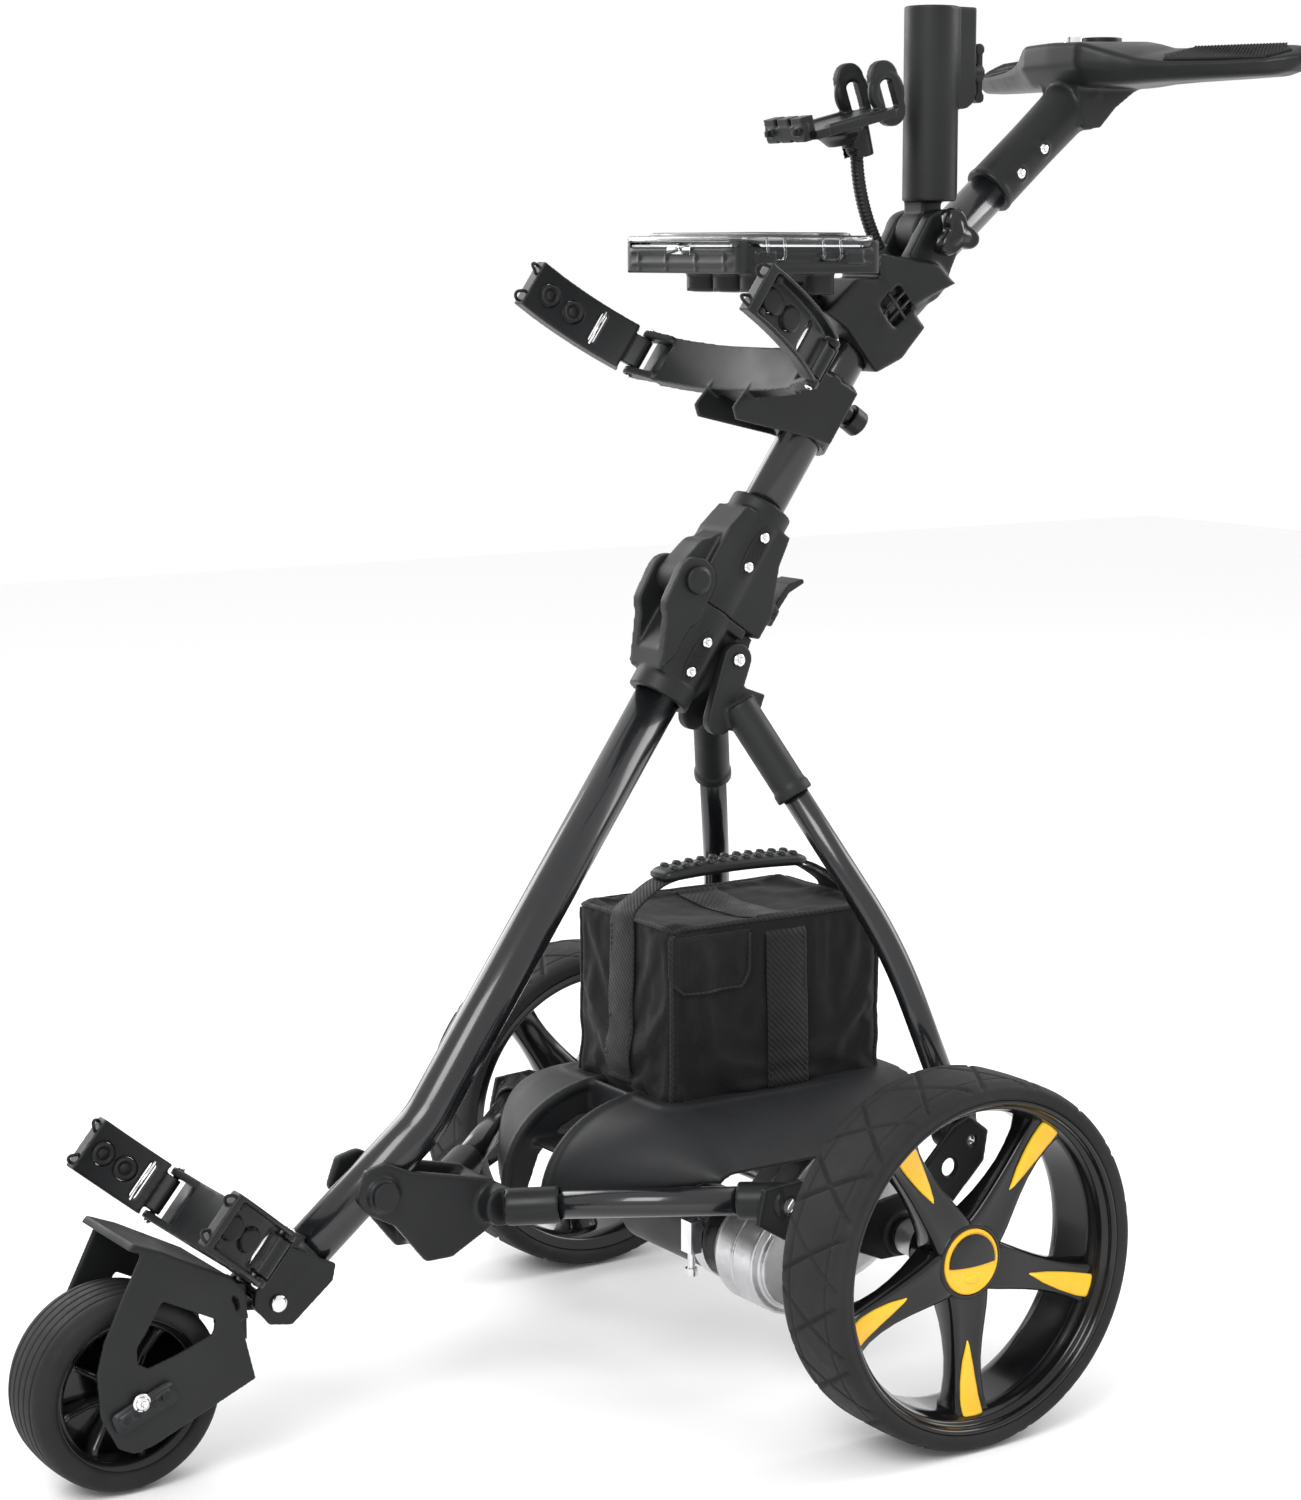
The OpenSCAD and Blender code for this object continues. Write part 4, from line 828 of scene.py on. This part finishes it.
def bag_trim(bag):
    me = bag.data
    tree = BVHTree.FromPolygons([v.co.copy() for v in me.vertices], [tuple(p.vertices) for p in me.polygons])

    def hit(origin, direction, lift):
        """Where a ray meets the bag, lifted back along it."""
        loc = tree.ray_cast(Vector(origin), Vector(direction))[0]
        return Vector(origin) + Vector(direction) * 0.02 if loc is None else loc - Vector(direction) * lift

    cx, cy, strap_y, grip_z = BAG[0], BAG[1], P(0, -18, 0).y, 0.3935
    bag_straps(hit, cx, cy, strap_y, grip_z)
    bag_grip(cx, cy, grip_z + 0.0015)
    bag_piping(hit, cx, cy)
    bag_flap(hit)
    bag_stitching(hit, cx, strap_y)


# ---------- tubes ----------
def bend_path(v, a, b, big_r, back, fwd, x=0.0):
    """Points of a bar bent once in the YZ plane, design mm, as the CAD lays it out."""
    t = big_r * math.tan(math.radians(abs(b - a)) / 2)
    side = 1 if b > a else -1
    da, db = slope_dir(a), slope_dir(b)
    centre = v - t * da + side * big_r * np.array([-da[1], da[0]])
    arc = [centre + side * big_r * np.array([math.sin(h), -math.cos(h)])
           for h in np.linspace(math.radians(a), math.radians(b), 16)]
    return [P(x, *p) for p in (v - back * da, *arc, v + fwd * db)]


def main_tubes():
    lower = bend_path(BEND_O, 39, STEM_SLOPE, 90, 186, 461 - 9)
    upper = bend_path(NECK_O, STEM_SLOPE, NECK_SLOPE, 120, 256 + 7, 262)
    pipe("lower_tube_bent", lower, 0.018, 0.002, "lower_tube")
    pipe("upper_tube_bent", upper, 0.017, 0.002, "upper_tube")
    arms = []
    for tag, s in SIDES:
        leg = [P(s * x, y, z) for x, y, z in ((22, -29, 522), (120, 47, 342), (172, 68, 218))]
        pipe("leg_%s_bent" % tag, soft_corner(leg, 0.045, 12), 0.0108, 0.0016, "leg_" + tag, 40)
        a, b = np.array((s * 44, -255, 166.0)), np.array((s * 178, -116, 181.0))
        arms.append(tube_mesh("arm", [P(*a), P(*(a + (b - a) * 0.5)), P(*b)], 0.0108, 48))
    piece("base_arms_round", arms, "tube_paint", "frame", "tube_paint", ["base_arms"])


def gooseneck():
    path = resample(bend_path(np.array([104.5, 918]), 118, 94, 150, 50, 36, x=-10), 0.0005, smooth=False)
    rib = np.abs(np.sin(math.pi * np.arange(len(path)) * 0.5 / 3.2)) ** 0.6
    ball = [(7.4 * math.sin(a), -7.4 * math.cos(a)) for a in np.linspace(0.02, math.pi - 0.02, 16)]
    parts = [tube_mesh("neck", path, (4.6 + 0.75 * rib) / 1000, 20),
             revolve("ball", ball, P(-10, 100, 958), (0, 0, 1), 28)]
    piece("gooseneck_ribbed", parts, "soft_black", "stem", "tube_paint", ["gooseneck"])


# ---------- screws and pads ----------
def socket_screw(origin, axis, r=4.3, h=2.3):
    """Domed head with a hexagonal recess."""
    return revolve("screw", [(r, 0), (r, 0.5), (r * 0.96, h * 0.55), (r * 0.8, h * 0.85), (r * 0.58, h),
                             (r * 0.5, h * 0.98), (r * 0.46, h * 0.35), (0.1, h * 0.3)], origin, axis, 24)


def knurled_pad(name, origin, axis, body, length=47, width=15, step=1.7):
    """An oval pad with rows of small pyramids on it, lying along the stem."""
    rot = frame_of(axis, (0, *STEM))
    parts = [skin("pad", [
        [local(origin, rot, width / 2 * k * math.cos(a),
               length / 2 * (1 - (1 - k) * width / length) * math.sin(a), h) for a in turn(48)]
        for k, h in ((1.0, 0), (1.0, 0.9), (0.97, 1.25), (0.88, 1.35))])]
    corners = turn(4) + math.pi / 4
    for i in range(-20, 21):
        for j in range(-30, 31):
            x, y = i * step + (j % 2) * step / 2, j * step * 0.87
            if (x / (width / 2 * 0.80)) ** 2 + (y / (length / 2 * 0.88)) ** 2 <= 1:
                parts.append(skin("dot", [
                    [local(origin, rot, x + k * math.cos(a), y + k * math.sin(a), h) for a in corners]
                    for k, h in ((0.62, 1.2), (0.22, 1.95))]))
    piece(name, parts, "bumper", body, "moulded")


def bracket_details():
    """Screws and textured pads on both sides of the hinge brackets, and the bolts of the frame."""
    rivet = [(6.6, -1), (6.6, 0.6), (6.0, 1.5), (4.2, 2.2), (0.1, 2.5)]
    bolt = [(6.4, -1.4), (6.4, 1.2), (5.6, 1.9), (0.1, 2.0)]
    frame_parts, stem_parts = [], []
    for tag, s in SIDES:
        out = (s, 0, 0)
        frame_parts += [socket_screw(stem_pt(s * 24.4, 0, u), out, 4.4, 2.2) for u in (-62, -35.4)]
        stem_parts += [socket_screw(stem_pt(s * 24.4, 0, u), out, 4.4, 2.2) for u in (32.9, 59.5)]
        stem_parts += [socket_screw(P(s * 20.5, *(NECK_O + u * NECK)), out, 4.3, 2.2) for u in NECK_SCREWS]
        foot = P(s * 154, 68, 202)
        frame_parts += [socket_screw(stem_pt(s * 22.6, -35, -30.8), out, 5.4, 2.4),
                        revolve("rivet", rivet, P(s * 23.8, -440.8, 118.1), out),
                        socket_screw(P(s * 190, 68, 202), out, 6.2, 3),
                        revolve("bolt", bolt, foot, (-s, 0, 0), 6),
                        revolve("shank", [(4, 0), (4, 36)], foot, out, 20)]
        knurled_pad("pad_low_" + tag, stem_pt(s * 22.6, 0, -48.7), out, "frame")
        knurled_pad("pad_high_" + tag, stem_pt(s * 22.6, 0, 46.2), out, "stem")
    piece("frame_screws_socket", frame_parts, "bright", "frame", replaces=["frame_screws"])
    piece("stem_screws_socket", stem_parts, "bright", "stem", replaces=["stem_screws"])


# ---------- cradles ----------
# band radius and its centre, hinge and tip angles, band width, then places along the arm back from its tip
CRADLES = {
    "upper": dict(r=150, cn=190, hinge=52, tip=92, band=40, pads=(7, 16), bar=25, slope=STEM_SLOPE,
                  o=STEM_O + 163 * STEM),
    "lower": dict(r=107, cn=137, hinge=53, tip=90, band=44, pads=(7.5, 18.5), bar=27, slope=50,
                  o=np.array([-425.0, 133.0]))}
BUMPER = [(8.7, -1.5), (8.9, 1.6), (8.6, 3.2), (7.7, 4.1), (6.2, 4.3), (5.4, 3.8), (5.0, 2.4), (4.4, 2.2),
          (3.9, 3.0), (0.1, 3.2)]
BUMPER_BACK = [(8.7, 0), (8.9, 2.6), (8.4, 3.6), (7.0, 3.9), (0.1, 3.9)]
# angle from the tip, height over the band and distance in from its edge, along an elastic loop
LOOP = [(-3.0, 8, 5), (-0.6, 10.5, 3.5), (2.2, 9.0, 4), (3.4, 6.0, 7), (2.4, 4.0, 10), (0.6, 5.0, 12),
        (-2.6, 7.0, 12)]
PIN_END = [(2.9, -1.2), (2.9, 0.3), (2.2, 0.9), (0.1, 1.0)]
STOP = [(3.4, -2.2), (3.6, 0), (3.0, 2.4), (1.8, 3.2), (0.1, 3.4)]
# outline of the dark sheet in each hinge bay, which is painted shade
BAY_SHADE_SHEET = [(-28, 10.6), (-2, 9.4), (-2, 8.0), (-28, 9.0)]


def arm_details(kind, side, body):
    d = CRADLES[kind]
    tag = kind + ("_left" if side > 0 else "_right")
    half = d["band"] / 2
    c, s = slope_dir(d["slope"])

    def at(x, n, t):
        """x across, n towards the bag, t along the band's width."""
        return P(x, d["o"][0] + t * c - n * s, d["o"][1] + t * s + n * c)

    def on_arm(angle, lift, t=0):
        a, r = math.radians(angle), d["r"] + lift
        return at(side * r * math.sin(a), d["cn"] - r * math.cos(a), t)

    bumpers, discs = [], []
    for back in d["pads"]:
        p = on_arm(d["tip"] - back, 1.5)
        inward = (on_arm(d["tip"] - back, -20) - p).normalized()
        bumpers += [revolve("bumper", BUMPER, p, inward, 36),
                    revolve("bumper_back", BUMPER_BACK, p - inward * 0.001, -inward, 36)]
    for back in (9.5, 17.5):
        p = on_arm(d["tip"] - back, 3)
        discs.append(revolve("disc", [(7.6, -0.5), (7.6, 1.4), (7.0, 2.0), (0.1, 2.1)], p,
                             (p - on_arm(d["tip"] - back, -20)).normalized(), 32))
    # bar across the slot, and the ends of the hinge pin
    a, b = (on_arm(d["tip"] - d["bar"], 1.5, t) for t in (5 - half, half - 5))
    metal_parts = [tube_mesh("bar", [a, (a + b) / 2, b], 0.0017, 14)]
    a, b = (on_arm(d["hinge"], 6, t) for t in (-half - 1.6, half + 1.6))
    for p, q in ((a, b), (b, a)):
        metal_parts.append(revolve("pin_end", PIN_END, p, p - q, 20))
    # elastic loops at the tip, one each side, lying against the rim
    loops = []
    tip = d["tip"] - 1.2
    for e in (-1, 1):
        pts = [on_arm(tip + angle, lift, e * (half - inset)) for angle, lift, inset in LOOP]
        loops.append(tube_mesh("loop", resample(pts, 0.0012), 0.0013, 10))
        p, foot = (on_arm(tip - 3.4, lift, e * (half - 6)) for lift in (8, 0))
        loops.append(revolve("stop", STOP, p, p - foot, 16))
    # dark sheet across the bay between the hinge and the end of the yoke's band: painted shade where the bay
    # is open
    a = math.radians(d["hinge"])
    hx, hn = (d["r"] + 6) * math.sin(a), d["cn"] - (d["r"] + 6) * math.cos(a)
    bay = skin("bay", [[at(side * (hx + p), hn - q, t) for p, q in BAY_SHADE_SHEET] for t in (3 - half, half - 3)])
    piece("cradle_bumpers_" + tag, bumpers, "bumper", body, "moulded")
    piece("cradle_bar_" + tag, metal_parts, "bright", body, "bright")
    piece("cradle_loops_" + tag, loops, "webbing", body, "webbing")
    piece("cradle_discs_" + tag, discs, "soft_black", body, "moulded")
    # the bay's dark sheet is painted shade, not a part
    piece("cradle_bay_shade_" + tag, bay, "soft_black", body_of[kind + "_cradle_yoke"], "moulded")


def cradles():
    for kind in CRADLES:
        soften(kind + "_cradle_yoke", 1.1, 5, "soft_black")
        for tag, s in SIDES:
            node = "%s_arm_%s" % (kind, tag)
            soften(node, 1.0, 4, "soft_black")
            arm_details(kind, s, body_of[node])


# ---------- mouldings that keep the CAD's shape ----------
# node, voxel in mm, rounds of smoothing, material
MOULDINGS = (
    ("lower_hinge_bracket", 1.2, 6, "moulded"), ("upper_hinge_bracket", 1.2, 6, "moulded"),
    ("y_bracket", 1.2, 6, "moulded"), ("fold_pin", 1.0, 4, "soft_black"),
    ("latch_lever", 0.8, 3, "moulded"), ("leg_feet", 1.2, 6, "soft_black"),
    ("base_bracket", 1.4, 12, "soft_black"), ("base_pin", 1.0, 4, "soft_black"),
    ("axle_brackets", 1.2, 5, "soft_black"), ("front_fork", 1.3, 7, "moulded"),
    ("saddle_clamp", 1.5, 24, "soft_black"), ("gearbox_housing", 1.4, 5, "alloy"),
    ("gearbox_cover", 1.4, 5, "alloy"), ("motor_can", 1.3, 4, "soft_black"),
    ("umbrella_tube", 1.2, 5, "moulded"), ("umbrella_screw", 0.8, 4, "soft_black"),
    ("cradle_knob", 0.8, 6, "soft_black"), ("speed_dial", 0.7, 3, "soft_black"))


# ---------- handle ----------
# x, front and rear edge, underside, top at the rear and at the front edge
HEAD = [(0, 288, 386, 1010, 1048, 1046), (34, 289, 386, 1010, 1048, 1045), (56, 303, 376, 1010, 1045, 1037),
        (74, 313, 372, 1011, 1041, 1031), (100, 324, 377, 1012, 1040.5, 1027),
        (140, 343, 389, 1013, 1040.5, 1026), (175, 361, 396.5, 1014, 1040, 1027),
        (188, 370, 396, 1017, 1038.5, 1029), (196, 379, 391, 1024, 1034, 1030)]


def head_at(x):
    return (float(np.interp(abs(x), [h[0] for h in HEAD], [h[k] for h in HEAD])) for k in range(1, 6))


def head_section(x):
    yf, yr, z0, z1, zf = head_at(x)
    w, h = yr - yf, z1 - z0
    pts = [(yf + 0.14 * w, z0, 6), (yf, z0 + 0.42 * h, 4), (yf + 1.5, zf, 5), (yr - 0.16 * w, z1, 5),
           (yr, z1 - 0.30 * h, 5), (yr - 0.10 * w, z0, 6)]
    return arc_profile(pts, 5, 5)


def handle():
    wing = np.linspace(56, 196, 36)
    parts = [skin("head", [[P(x, y, z) for y, z in head_section(x)]
                           for x in (*-wing[::-1], *np.linspace(-52, 52, 22), *wing)])]
    low = P(0, *(NECK_O + 165 * NECK))
    sleeve = [(0.1, 0), (17.2, 0), (20.6, 0.4), (21.6, 1.2), (21.6, 4.0), (20.8, 5.2), (20.6, 60), (21.2, 96),
              (23.5, 127), (0.1, 127)]
    parts.append(revolve("sleeve", sleeve, low, P(0, *(NECK_O + 292 * NECK)) - low, 64))
    gusset = [(300, 1014), (378, 1014), (362, 1006), (344, 994), (328, 978), (310, 975)]
    parts += [prism(gusset, x - 1.6, x + 1.6) for x in (-21, -7, 7, 21)]
    parts.append(prism([(300, 1014), (350, 1014), (336, 990), (318, 975)], -19, 19))
    boss = [(7.6, -5), (7.6, 0.6), (6.9, 1.3), (5.4, 1.4), (5.2, 0.3), (0.1, 0.3)]
    parts += [revolve("boss", boss, P(s * 19.8, *(NECK_O + d * NECK)), (s, 0, 0), 28)
              for d in NECK_SCREWS for s in (1, -1)]
    wells = [revolve("dial_well", [(17.9, 0), (17.9, 20)], P(0, 346, 1040.3), (0, 0, 1), 64),
             revolve("key_well", [(8.5, 0), (8.5, 20)], P(0, 316, 1036.5), (0, 0, 1), 48)]
    unite("handle_head_shell", parts, 1.5, 4, "soft_black", "stem", "handle_head", wells)
    for tag, s in SIDES:
        grip_pad(tag, s)


def grip_pad(tag, s):
    """Textured pad lying on the sloping top of one wing."""
    def on_top(x, f, lift):
        yf, yr, _, z1, zf = head_at(x)
        y0, y1 = yf + 1.5, yr - 0.16 * (yr - yf)
        slope = Vector((0, -(z1 - zf), y1 - y0)).normalized()
        return P(s * x, y0 + f * (y1 - y0), zf + f * (z1 - zf)) + slope * (lift / 1000)

    corners = [(88, 0.34), (96, 0.08), (172, 0.08), (186, 0.5), (172, 0.92), (96, 0.92)]
    ring = np.array(arc_profile(corners, 0.5, 4))
    c = ring.mean(0)
    parts = [skin("pad", [[on_top(*(c + (q - c) * k), lift) for q in ring]
                          for k, lift in ((1.0, -1.2), (1.0, 0.9), (0.985, 1.4), (0.95, 1.5))])]
    for i in range(30):
        for j in range(11):
            x, f = 97 + i * 2.75 + (j % 2) * 1.37, 0.14 + j * 0.072
            if x <= 183 - abs(f - 0.5) * 22:
                parts.append(skin("dot", [
                    [on_top(x + k * 0.85 * math.cos(a), f + k * 0.026 * math.sin(a), lift) for a in turn(6)]
                    for k, lift in ((1.0, 1.2), (0.75, 2.1), (0.3, 2.4))]))
    piece("grip_pad_" + tag, parts, "bumper", "stem", "moulded")


# ---------- battery tray ----------
def tray_profile(x):
    """The wing's outline at x: along its top, then round its front."""
    t = np.clip((x - 31) / 119, 0, 1)
    top = 231 - 34 * np.clip((x - 70) / 80, 0, 1) ** 1.9
    front, low = -217 + 80 * t ** 1.35, 150 + 42 * t ** 0.8
    pts = [(y, top + 3 * np.clip((y + 20) / 107, 0, 1)) for y in np.linspace(87, -118, 22)]
    return pts + [(-118 + (front + 118) * math.sin(a) ** 0.92, low + (top - low) * math.cos(a) ** 0.86)
                  for a in np.linspace(0, math.pi / 2, 22)[1:]]


def battery_tray():
    parts = []
    for s in (1, -1):
        rows = []
        for x in (*np.linspace(29, 74, 12), *np.linspace(77, 151, 26)):
            outline = tray_profile(x)
            inner = [P(s * max(x - 0.6, 29), min(y, 86), z) + Vector(
                (0, 0.0032 if y < -118 else 0, -0.0034 if y > -180 else -0.001)) for y, z in outline]
            rows.append([P(s * x, y, z) for y, z in outline] + inner[::-1])
        wing = skin("wing", rows, caps=False)
        with editing(wing) as bm:
            bmesh.ops.holes_fill(bm, edges=[e for e in bm.edges if e.is_boundary], sides=0)
        # side web with its bead, facing the channel between the two wings
        curl = [p for p in tray_profile(30) if p[0] < -60]
        web = curl + [(-196, 150), (-186, 176), (-172, 192), (-150, 202), (-60, 206)]
        bead = resample([P(s * 28.6, y, z - 1.0) for y, z in curl], 0.003)
        parts += [wing, prism(web, s * 27.6, s * 31.5), tube_mesh("bead", bead, 0.0042, 16)]
    parts.append(prism(rounded_rect(160, 224, 8, 0, BAG_Y), 205, 212.6, "z"))
    parts.append(prism([(-28, -192), (28, -192), (28, -130), (-28, -130)], 186, 190.5, "z"))
    outer, inner = rounded_rect(162, 226, 10, 0, BAG_Y), rounded_rect(153, 217, 7, 0, BAG_Y)
    parts.append(skin("rim", [[P(a, b, z) for a, b in ring] for ring, z in (
        (outer, 205), (outer, 229), (outer, 232), (inner, 232), (inner, 206))], closed=True))
    channel = tube_mesh("channel", [P(0, *(BEND_O + k * STEM)) for k in (-20, 60, 150)], 0.0245, 40)
    unite("battery_tray_shell", parts, 2.1, 5, "tray", "frame", "battery_tray", [channel])


# ---------- scorecard tray and its clear lid ----------
def scorecard():
    lo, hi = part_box("scorecard_tray")
    w = (hi[0] - lo[0]) * 1000
    l, cy = 132.0, -6.0
    parts = [cad_mesh("scorecard_tray")]
    for z0, z1, out in ((876.5, 879.5, 1.6), (867.5, 869.6, 1.0)):
        a, b = rounded_rect(w + 2 * out, l + 2 * out, 11 + out, 0, cy), rounded_rect(w - 5, l - 5, 9, 0, cy)
        parts.append(skin("band", [[P(x, y, z) for x, y in ring] for ring, z in (
            (a, z0), (a, z1), (b, z1), (b, z0))], closed=True))
    front = cy - l / 2
    rib = [(front - 1.6, 878), (front + 2, 878), (front + 2, 862), (front - 0.4, 862)]
    parts += [prism(rib, x - 1.4, x + 1.4) for x in (-58, -20, 20, 58)]
    parts += [prism(rounded_rect(7, 18, 2, s * (w / 2 + 0.6), y), 868, 877, "z")
              for s in (1, -1) for y in (-52, 30)]
    cup = [(16.8, 0), (16.8, -11), (15.6, -14.6), (12.4, -16.6), (0.1, -17)]
    ball = [(14.4 * math.sin(a), 14.4 - 14.4 * math.cos(a)) for a in np.linspace(0.02, math.pi / 2, 10)]
    balls_x = (-36, 0, 36)
    parts += [revolve("cup", cup, P(x, -22, 863), (0, 0, 1), 40) for x in balls_x]
    parts.append(revolve("strut", [(11, 0), (12.4, 12), (15, 22)], P(0, 46, 836), (0, -0.55, 0.83), 36))
    wells = [revolve("ball", ball + [(14.4, 30)], P(x, -22, 850), (0, 0, 1), 40) for x in balls_x]
    unite("scorecard_tray_shell", parts, 1.1, 3, "soft_black", "stem", "scorecard_tray", wells)

    # lid: a thin raised panel with a turned-down skirt and clips
    z, lid_y = 886.4, cy - 2.5
    sections = [(3.2, -1.5, -5.6), (3.2, -1.5, 1.0), (2.4, -2.3, 2.4), (0.4, -4.3, 3.0), (-22, -26, 3.2),
                (-24, -28, 4.8), (-27, -31, 5.4), (-60, -66, 5.6)]
    top = skin("top", [[P(x, y, z + h) for x, y in rounded_rect(w + a, l + b, 11, 0, lid_y)]
                       for a, b, h in sections])
    with editing(top) as bm:
        low = [f for f in bm.faces if len(f.verts) > 8 and f.calc_center_median().z < (z - 5) / 1000]
        bmesh.ops.delete(bm, geom=low, context="FACES_ONLY")
        bmesh.ops.solidify(bm, geom=list(bm.faces), thickness=0.0014)
        bmesh.ops.recalc_face_normals(bm, faces=bm.faces)
    parts = [top]
    for s in (1, -1):
        for y in (-44, 8):
            path = [P(s * (w / 2 + out), y, z + h)
                    for out, h in ((2.6, 1), (3.6, -5), (4.2, -12), (1.2, -15))]
            for d in (-8, 8):
                wire = resample([q + Vector((0, d / 1000, 0)) for q in path], 0.002)
                parts.append(tube_mesh("clip", wire, 0.0011, 8))
            foot = [path[-1] + Vector((0, d / 1000, 0)) for d in (-8.6, 0, 8.6)]
            parts.append(tube_mesh("clip", foot, 0.0012, 8))
    front = lid_y - l / 2
    tab = [(front - 1.5, z - 4), (front + 1, z - 4), (front + 1, z - 11), (front - 1.5, z - 11)]
    parts.append(prism(tab, -14, 14))
    for reach, radius, sides in ((41, 0.0015, 16), (28, 0.0030, 20)):
        parts.append(tube_mesh("hinge", [P(x, *LID_HINGE) for x in (-reach, 0, reach)], radius, sides))
    piece("scorecard_lid_clear", parts, "clear", "lid", "clear", ["scorecard_lid"])


# ---------- umbrella joint ----------
def tilt_knob():
    """Knob whose rim swells into three rounded lobes, with a dished face."""
    h = 16
    origin, axis = P(26, *TILT_AXLE), (1, 0, 0)
    rot = frame_of(axis, (0, 0.3, 1))
    rows = [[local(origin, rot, k * (16.5 + 5.0 * math.cos(3 * a)) * math.cos(a),
                   k * (16.5 + 5.0 * math.cos(3 * a)) * math.sin(a), z) for a in turn(72)]
            for k, z in ((0.5, 0), (0.86, 0), (0.96, 1.2), (1.0, h * 0.4), (0.98, h * 0.72),
                         (0.91, h * 0.9), (0.80, h * 0.93), (0.66, h * 0.84), (0.48, h * 0.92),
                         (0.26, h * 1.04), (0.02, h * 1.08))]
    parts = [skin("knob", rows), revolve("stem", [(6.5, -12), (6.5, 1)], origin, axis, 28),
             revolve("pin", [(4, -58), (4, 1)], origin, axis, 28)]
    piece("tilt_knob_lobed", parts, "gloss_black", "tilt", "gloss_black", ["tilt_knob"])


def umbrella_joint():
    tilt_knob()
    y, z = TILT_AXLE
    parts = []
    for a in turn(24):
        out = Vector((0, math.cos(a), math.sin(a)))
        c = P(-34.4, y + 12 * math.cos(a), z + 12 * math.sin(a))
        parts.append(tube_mesh("rib", [c - out * 0.005, c, c + out * 0.005], 0.0009, 8))
    cap = [(19, -4), (19, 0.2), (18, 1.2), (6.5, 1.2), (6.2, 0.2), (0.1, 0.2)]
    parts.append(revolve("cap", cap, P(-34, y, z), (-1, 0, 0), 48))
    piece("umbrella_joint_face", parts, "soft_black", "stem", "moulded")
    # grille over the windows in the saddle's sides
    across = np.array([NECK[1], -NECK[0]])
    bars = []
    for s in (1, -1):
        for k in (-4, 4):
            path = [P(s * 25.2, *(NECK_O + (22 + t) * NECK + (-2 + k) * across)) for t in (-13, 0, 13)]
            bars.append(tube_mesh("bar", path, 0.0013, 10))
        path = [P(s * 25.0, *(NECK_O + 22 * NECK + (-2 + t) * across)) for t in (-13, 0, 13)]
        bars.append(tube_mesh("bar", path, 0.0015, 10))
    piece("saddle_grille", bars, "soft_black", "stem", "moulded")


# ---------- fork adjuster ----------
def fork_adjusters():
    rot = Matrix.Rotation(math.radians(22), 3, "X")
    bolts, plates = [], []
    for s in (1, -1):
        out = (s, 0, 0)
        c = P(s * 43.9, -557.7, 68.7)
        for w, h, x0, x1 in ((50, 17, -1.9, 1.7), (44, 11.5, 1.2, 2.6)):
            plates.append(skin("plate", [
                [c + Vector((s * x / 1000, 0, 0)) + rot @ Vector((0, p / 1000, q / 1000))
                 for p, q in rounded_rect(w, h, 3)] for x in (x0, x1)]))
        for off in (-16, -5.5, 7, 17.5):
            plates.append(revolve("dimple", [(3.6, -0.4), (3.6, 0.7), (2.9, 1.0), (2.5, 0.2), (0.1, 0.2)],
                                  c + rot @ Vector((0, off / 1000, 0)) + Vector((s * 0.0026, 0, 0)), out, 20))
        washer = [(6.8, -0.8), (6.8, 0.3), (6.2, 0.6), (0.1, 0.6)]
        bolts += [socket_screw(P(s * 46.8, *FRONT_AXLE), out, 5.2, 2.6),
                  revolve("washer", washer, P(s * 46.2, *FRONT_AXLE), out, 28)]
    bolts.append(tube_mesh("axle", [P(x, *FRONT_AXLE) for x in (-47, 0, 47)], 0.004, 24))
    piece("front_axle_bolts", bolts, "bright", "frame", "bright", ["front_axle"])
    piece("fork_adjusters", plates, "soft_black", "frame", "moulded")


# ---------- phone holder ----------
def phone_holder():
    """Gripper bar with blocks on the sliding jaw; the cradle's plate keeps its CAD outline."""
    tilt = Matrix.Rotation(math.radians(14), 3, "X")

    def at(x, y, z):
        return P(-10, 88, 968) + tilt @ (Vector((x, y, z)) / 1000)

    def block(x0, x1, y0, y1, z0, z1):
        corners = ((y0, z0), (y1, z0), (y1, z1), (y0, z1))
        return skin("block", [[at(x, y, z) for y, z in corners] for x in (x0, x1)])

    jaw = [block(-20, 20, -54, -24, 8, 11), block(-26, 26, -54.5, -49, 8, 19)]
    jaw += [block(x, x + 14, -54, -42, 6, 25) for x in (-26, -8, 10)]
    jaw += [block(x, x + 4, -60, -50, 12, 17) for x in (-20, 16)]
    unite("phone_jaw_bar", jaw, 0.8, 3, "soft_black", "jaw", "phone_jaw")
    cradle = [cad_mesh("phone_cradle")]
    for s in (1, -1):
        ring = [at(s * 22, 34 + 12.5 * math.sin(a) - 1, 26 + 14 * math.cos(a))
                for a in np.linspace(-2.2, 2.2, 24)]
        cradle.append(tube_mesh("loop", ring, 0.0046, 16))
    cradle += [block(x - 4, x + 4, -30, 20, 12, 15) for x in (-24, 24)]
    oval = [(0.1, -7), (12, -7), (14, -5), (18, -1), (24, 3), (25, 6), (24, 8.5), (0.1, 8.5)]
    cradle.append(skin("oval", [[at(r * math.cos(a), 0.72 * r * math.sin(a) - 4, z) for a in turn(56)]
                                for r, z in oval]))
    unite("phone_cradle_shell", cradle, 0.9, 4, "soft_black", "phone", "phone_cradle")


camera()
studio()
for name, o in nodes.items():
    dress(o.data, slot_of[name])
main_tubes()
for tag, side in SIDES:
    rear_wheel(tag, side)
front_wheel()
for moulding in MOULDINGS:
    soften(*moulding)
bracket_details()
cradles()
handle()
battery_tray()
scorecard()
umbrella_joint()
fork_adjusters()
phone_holder()
gooseneck()
bag_trim(battery_bag())
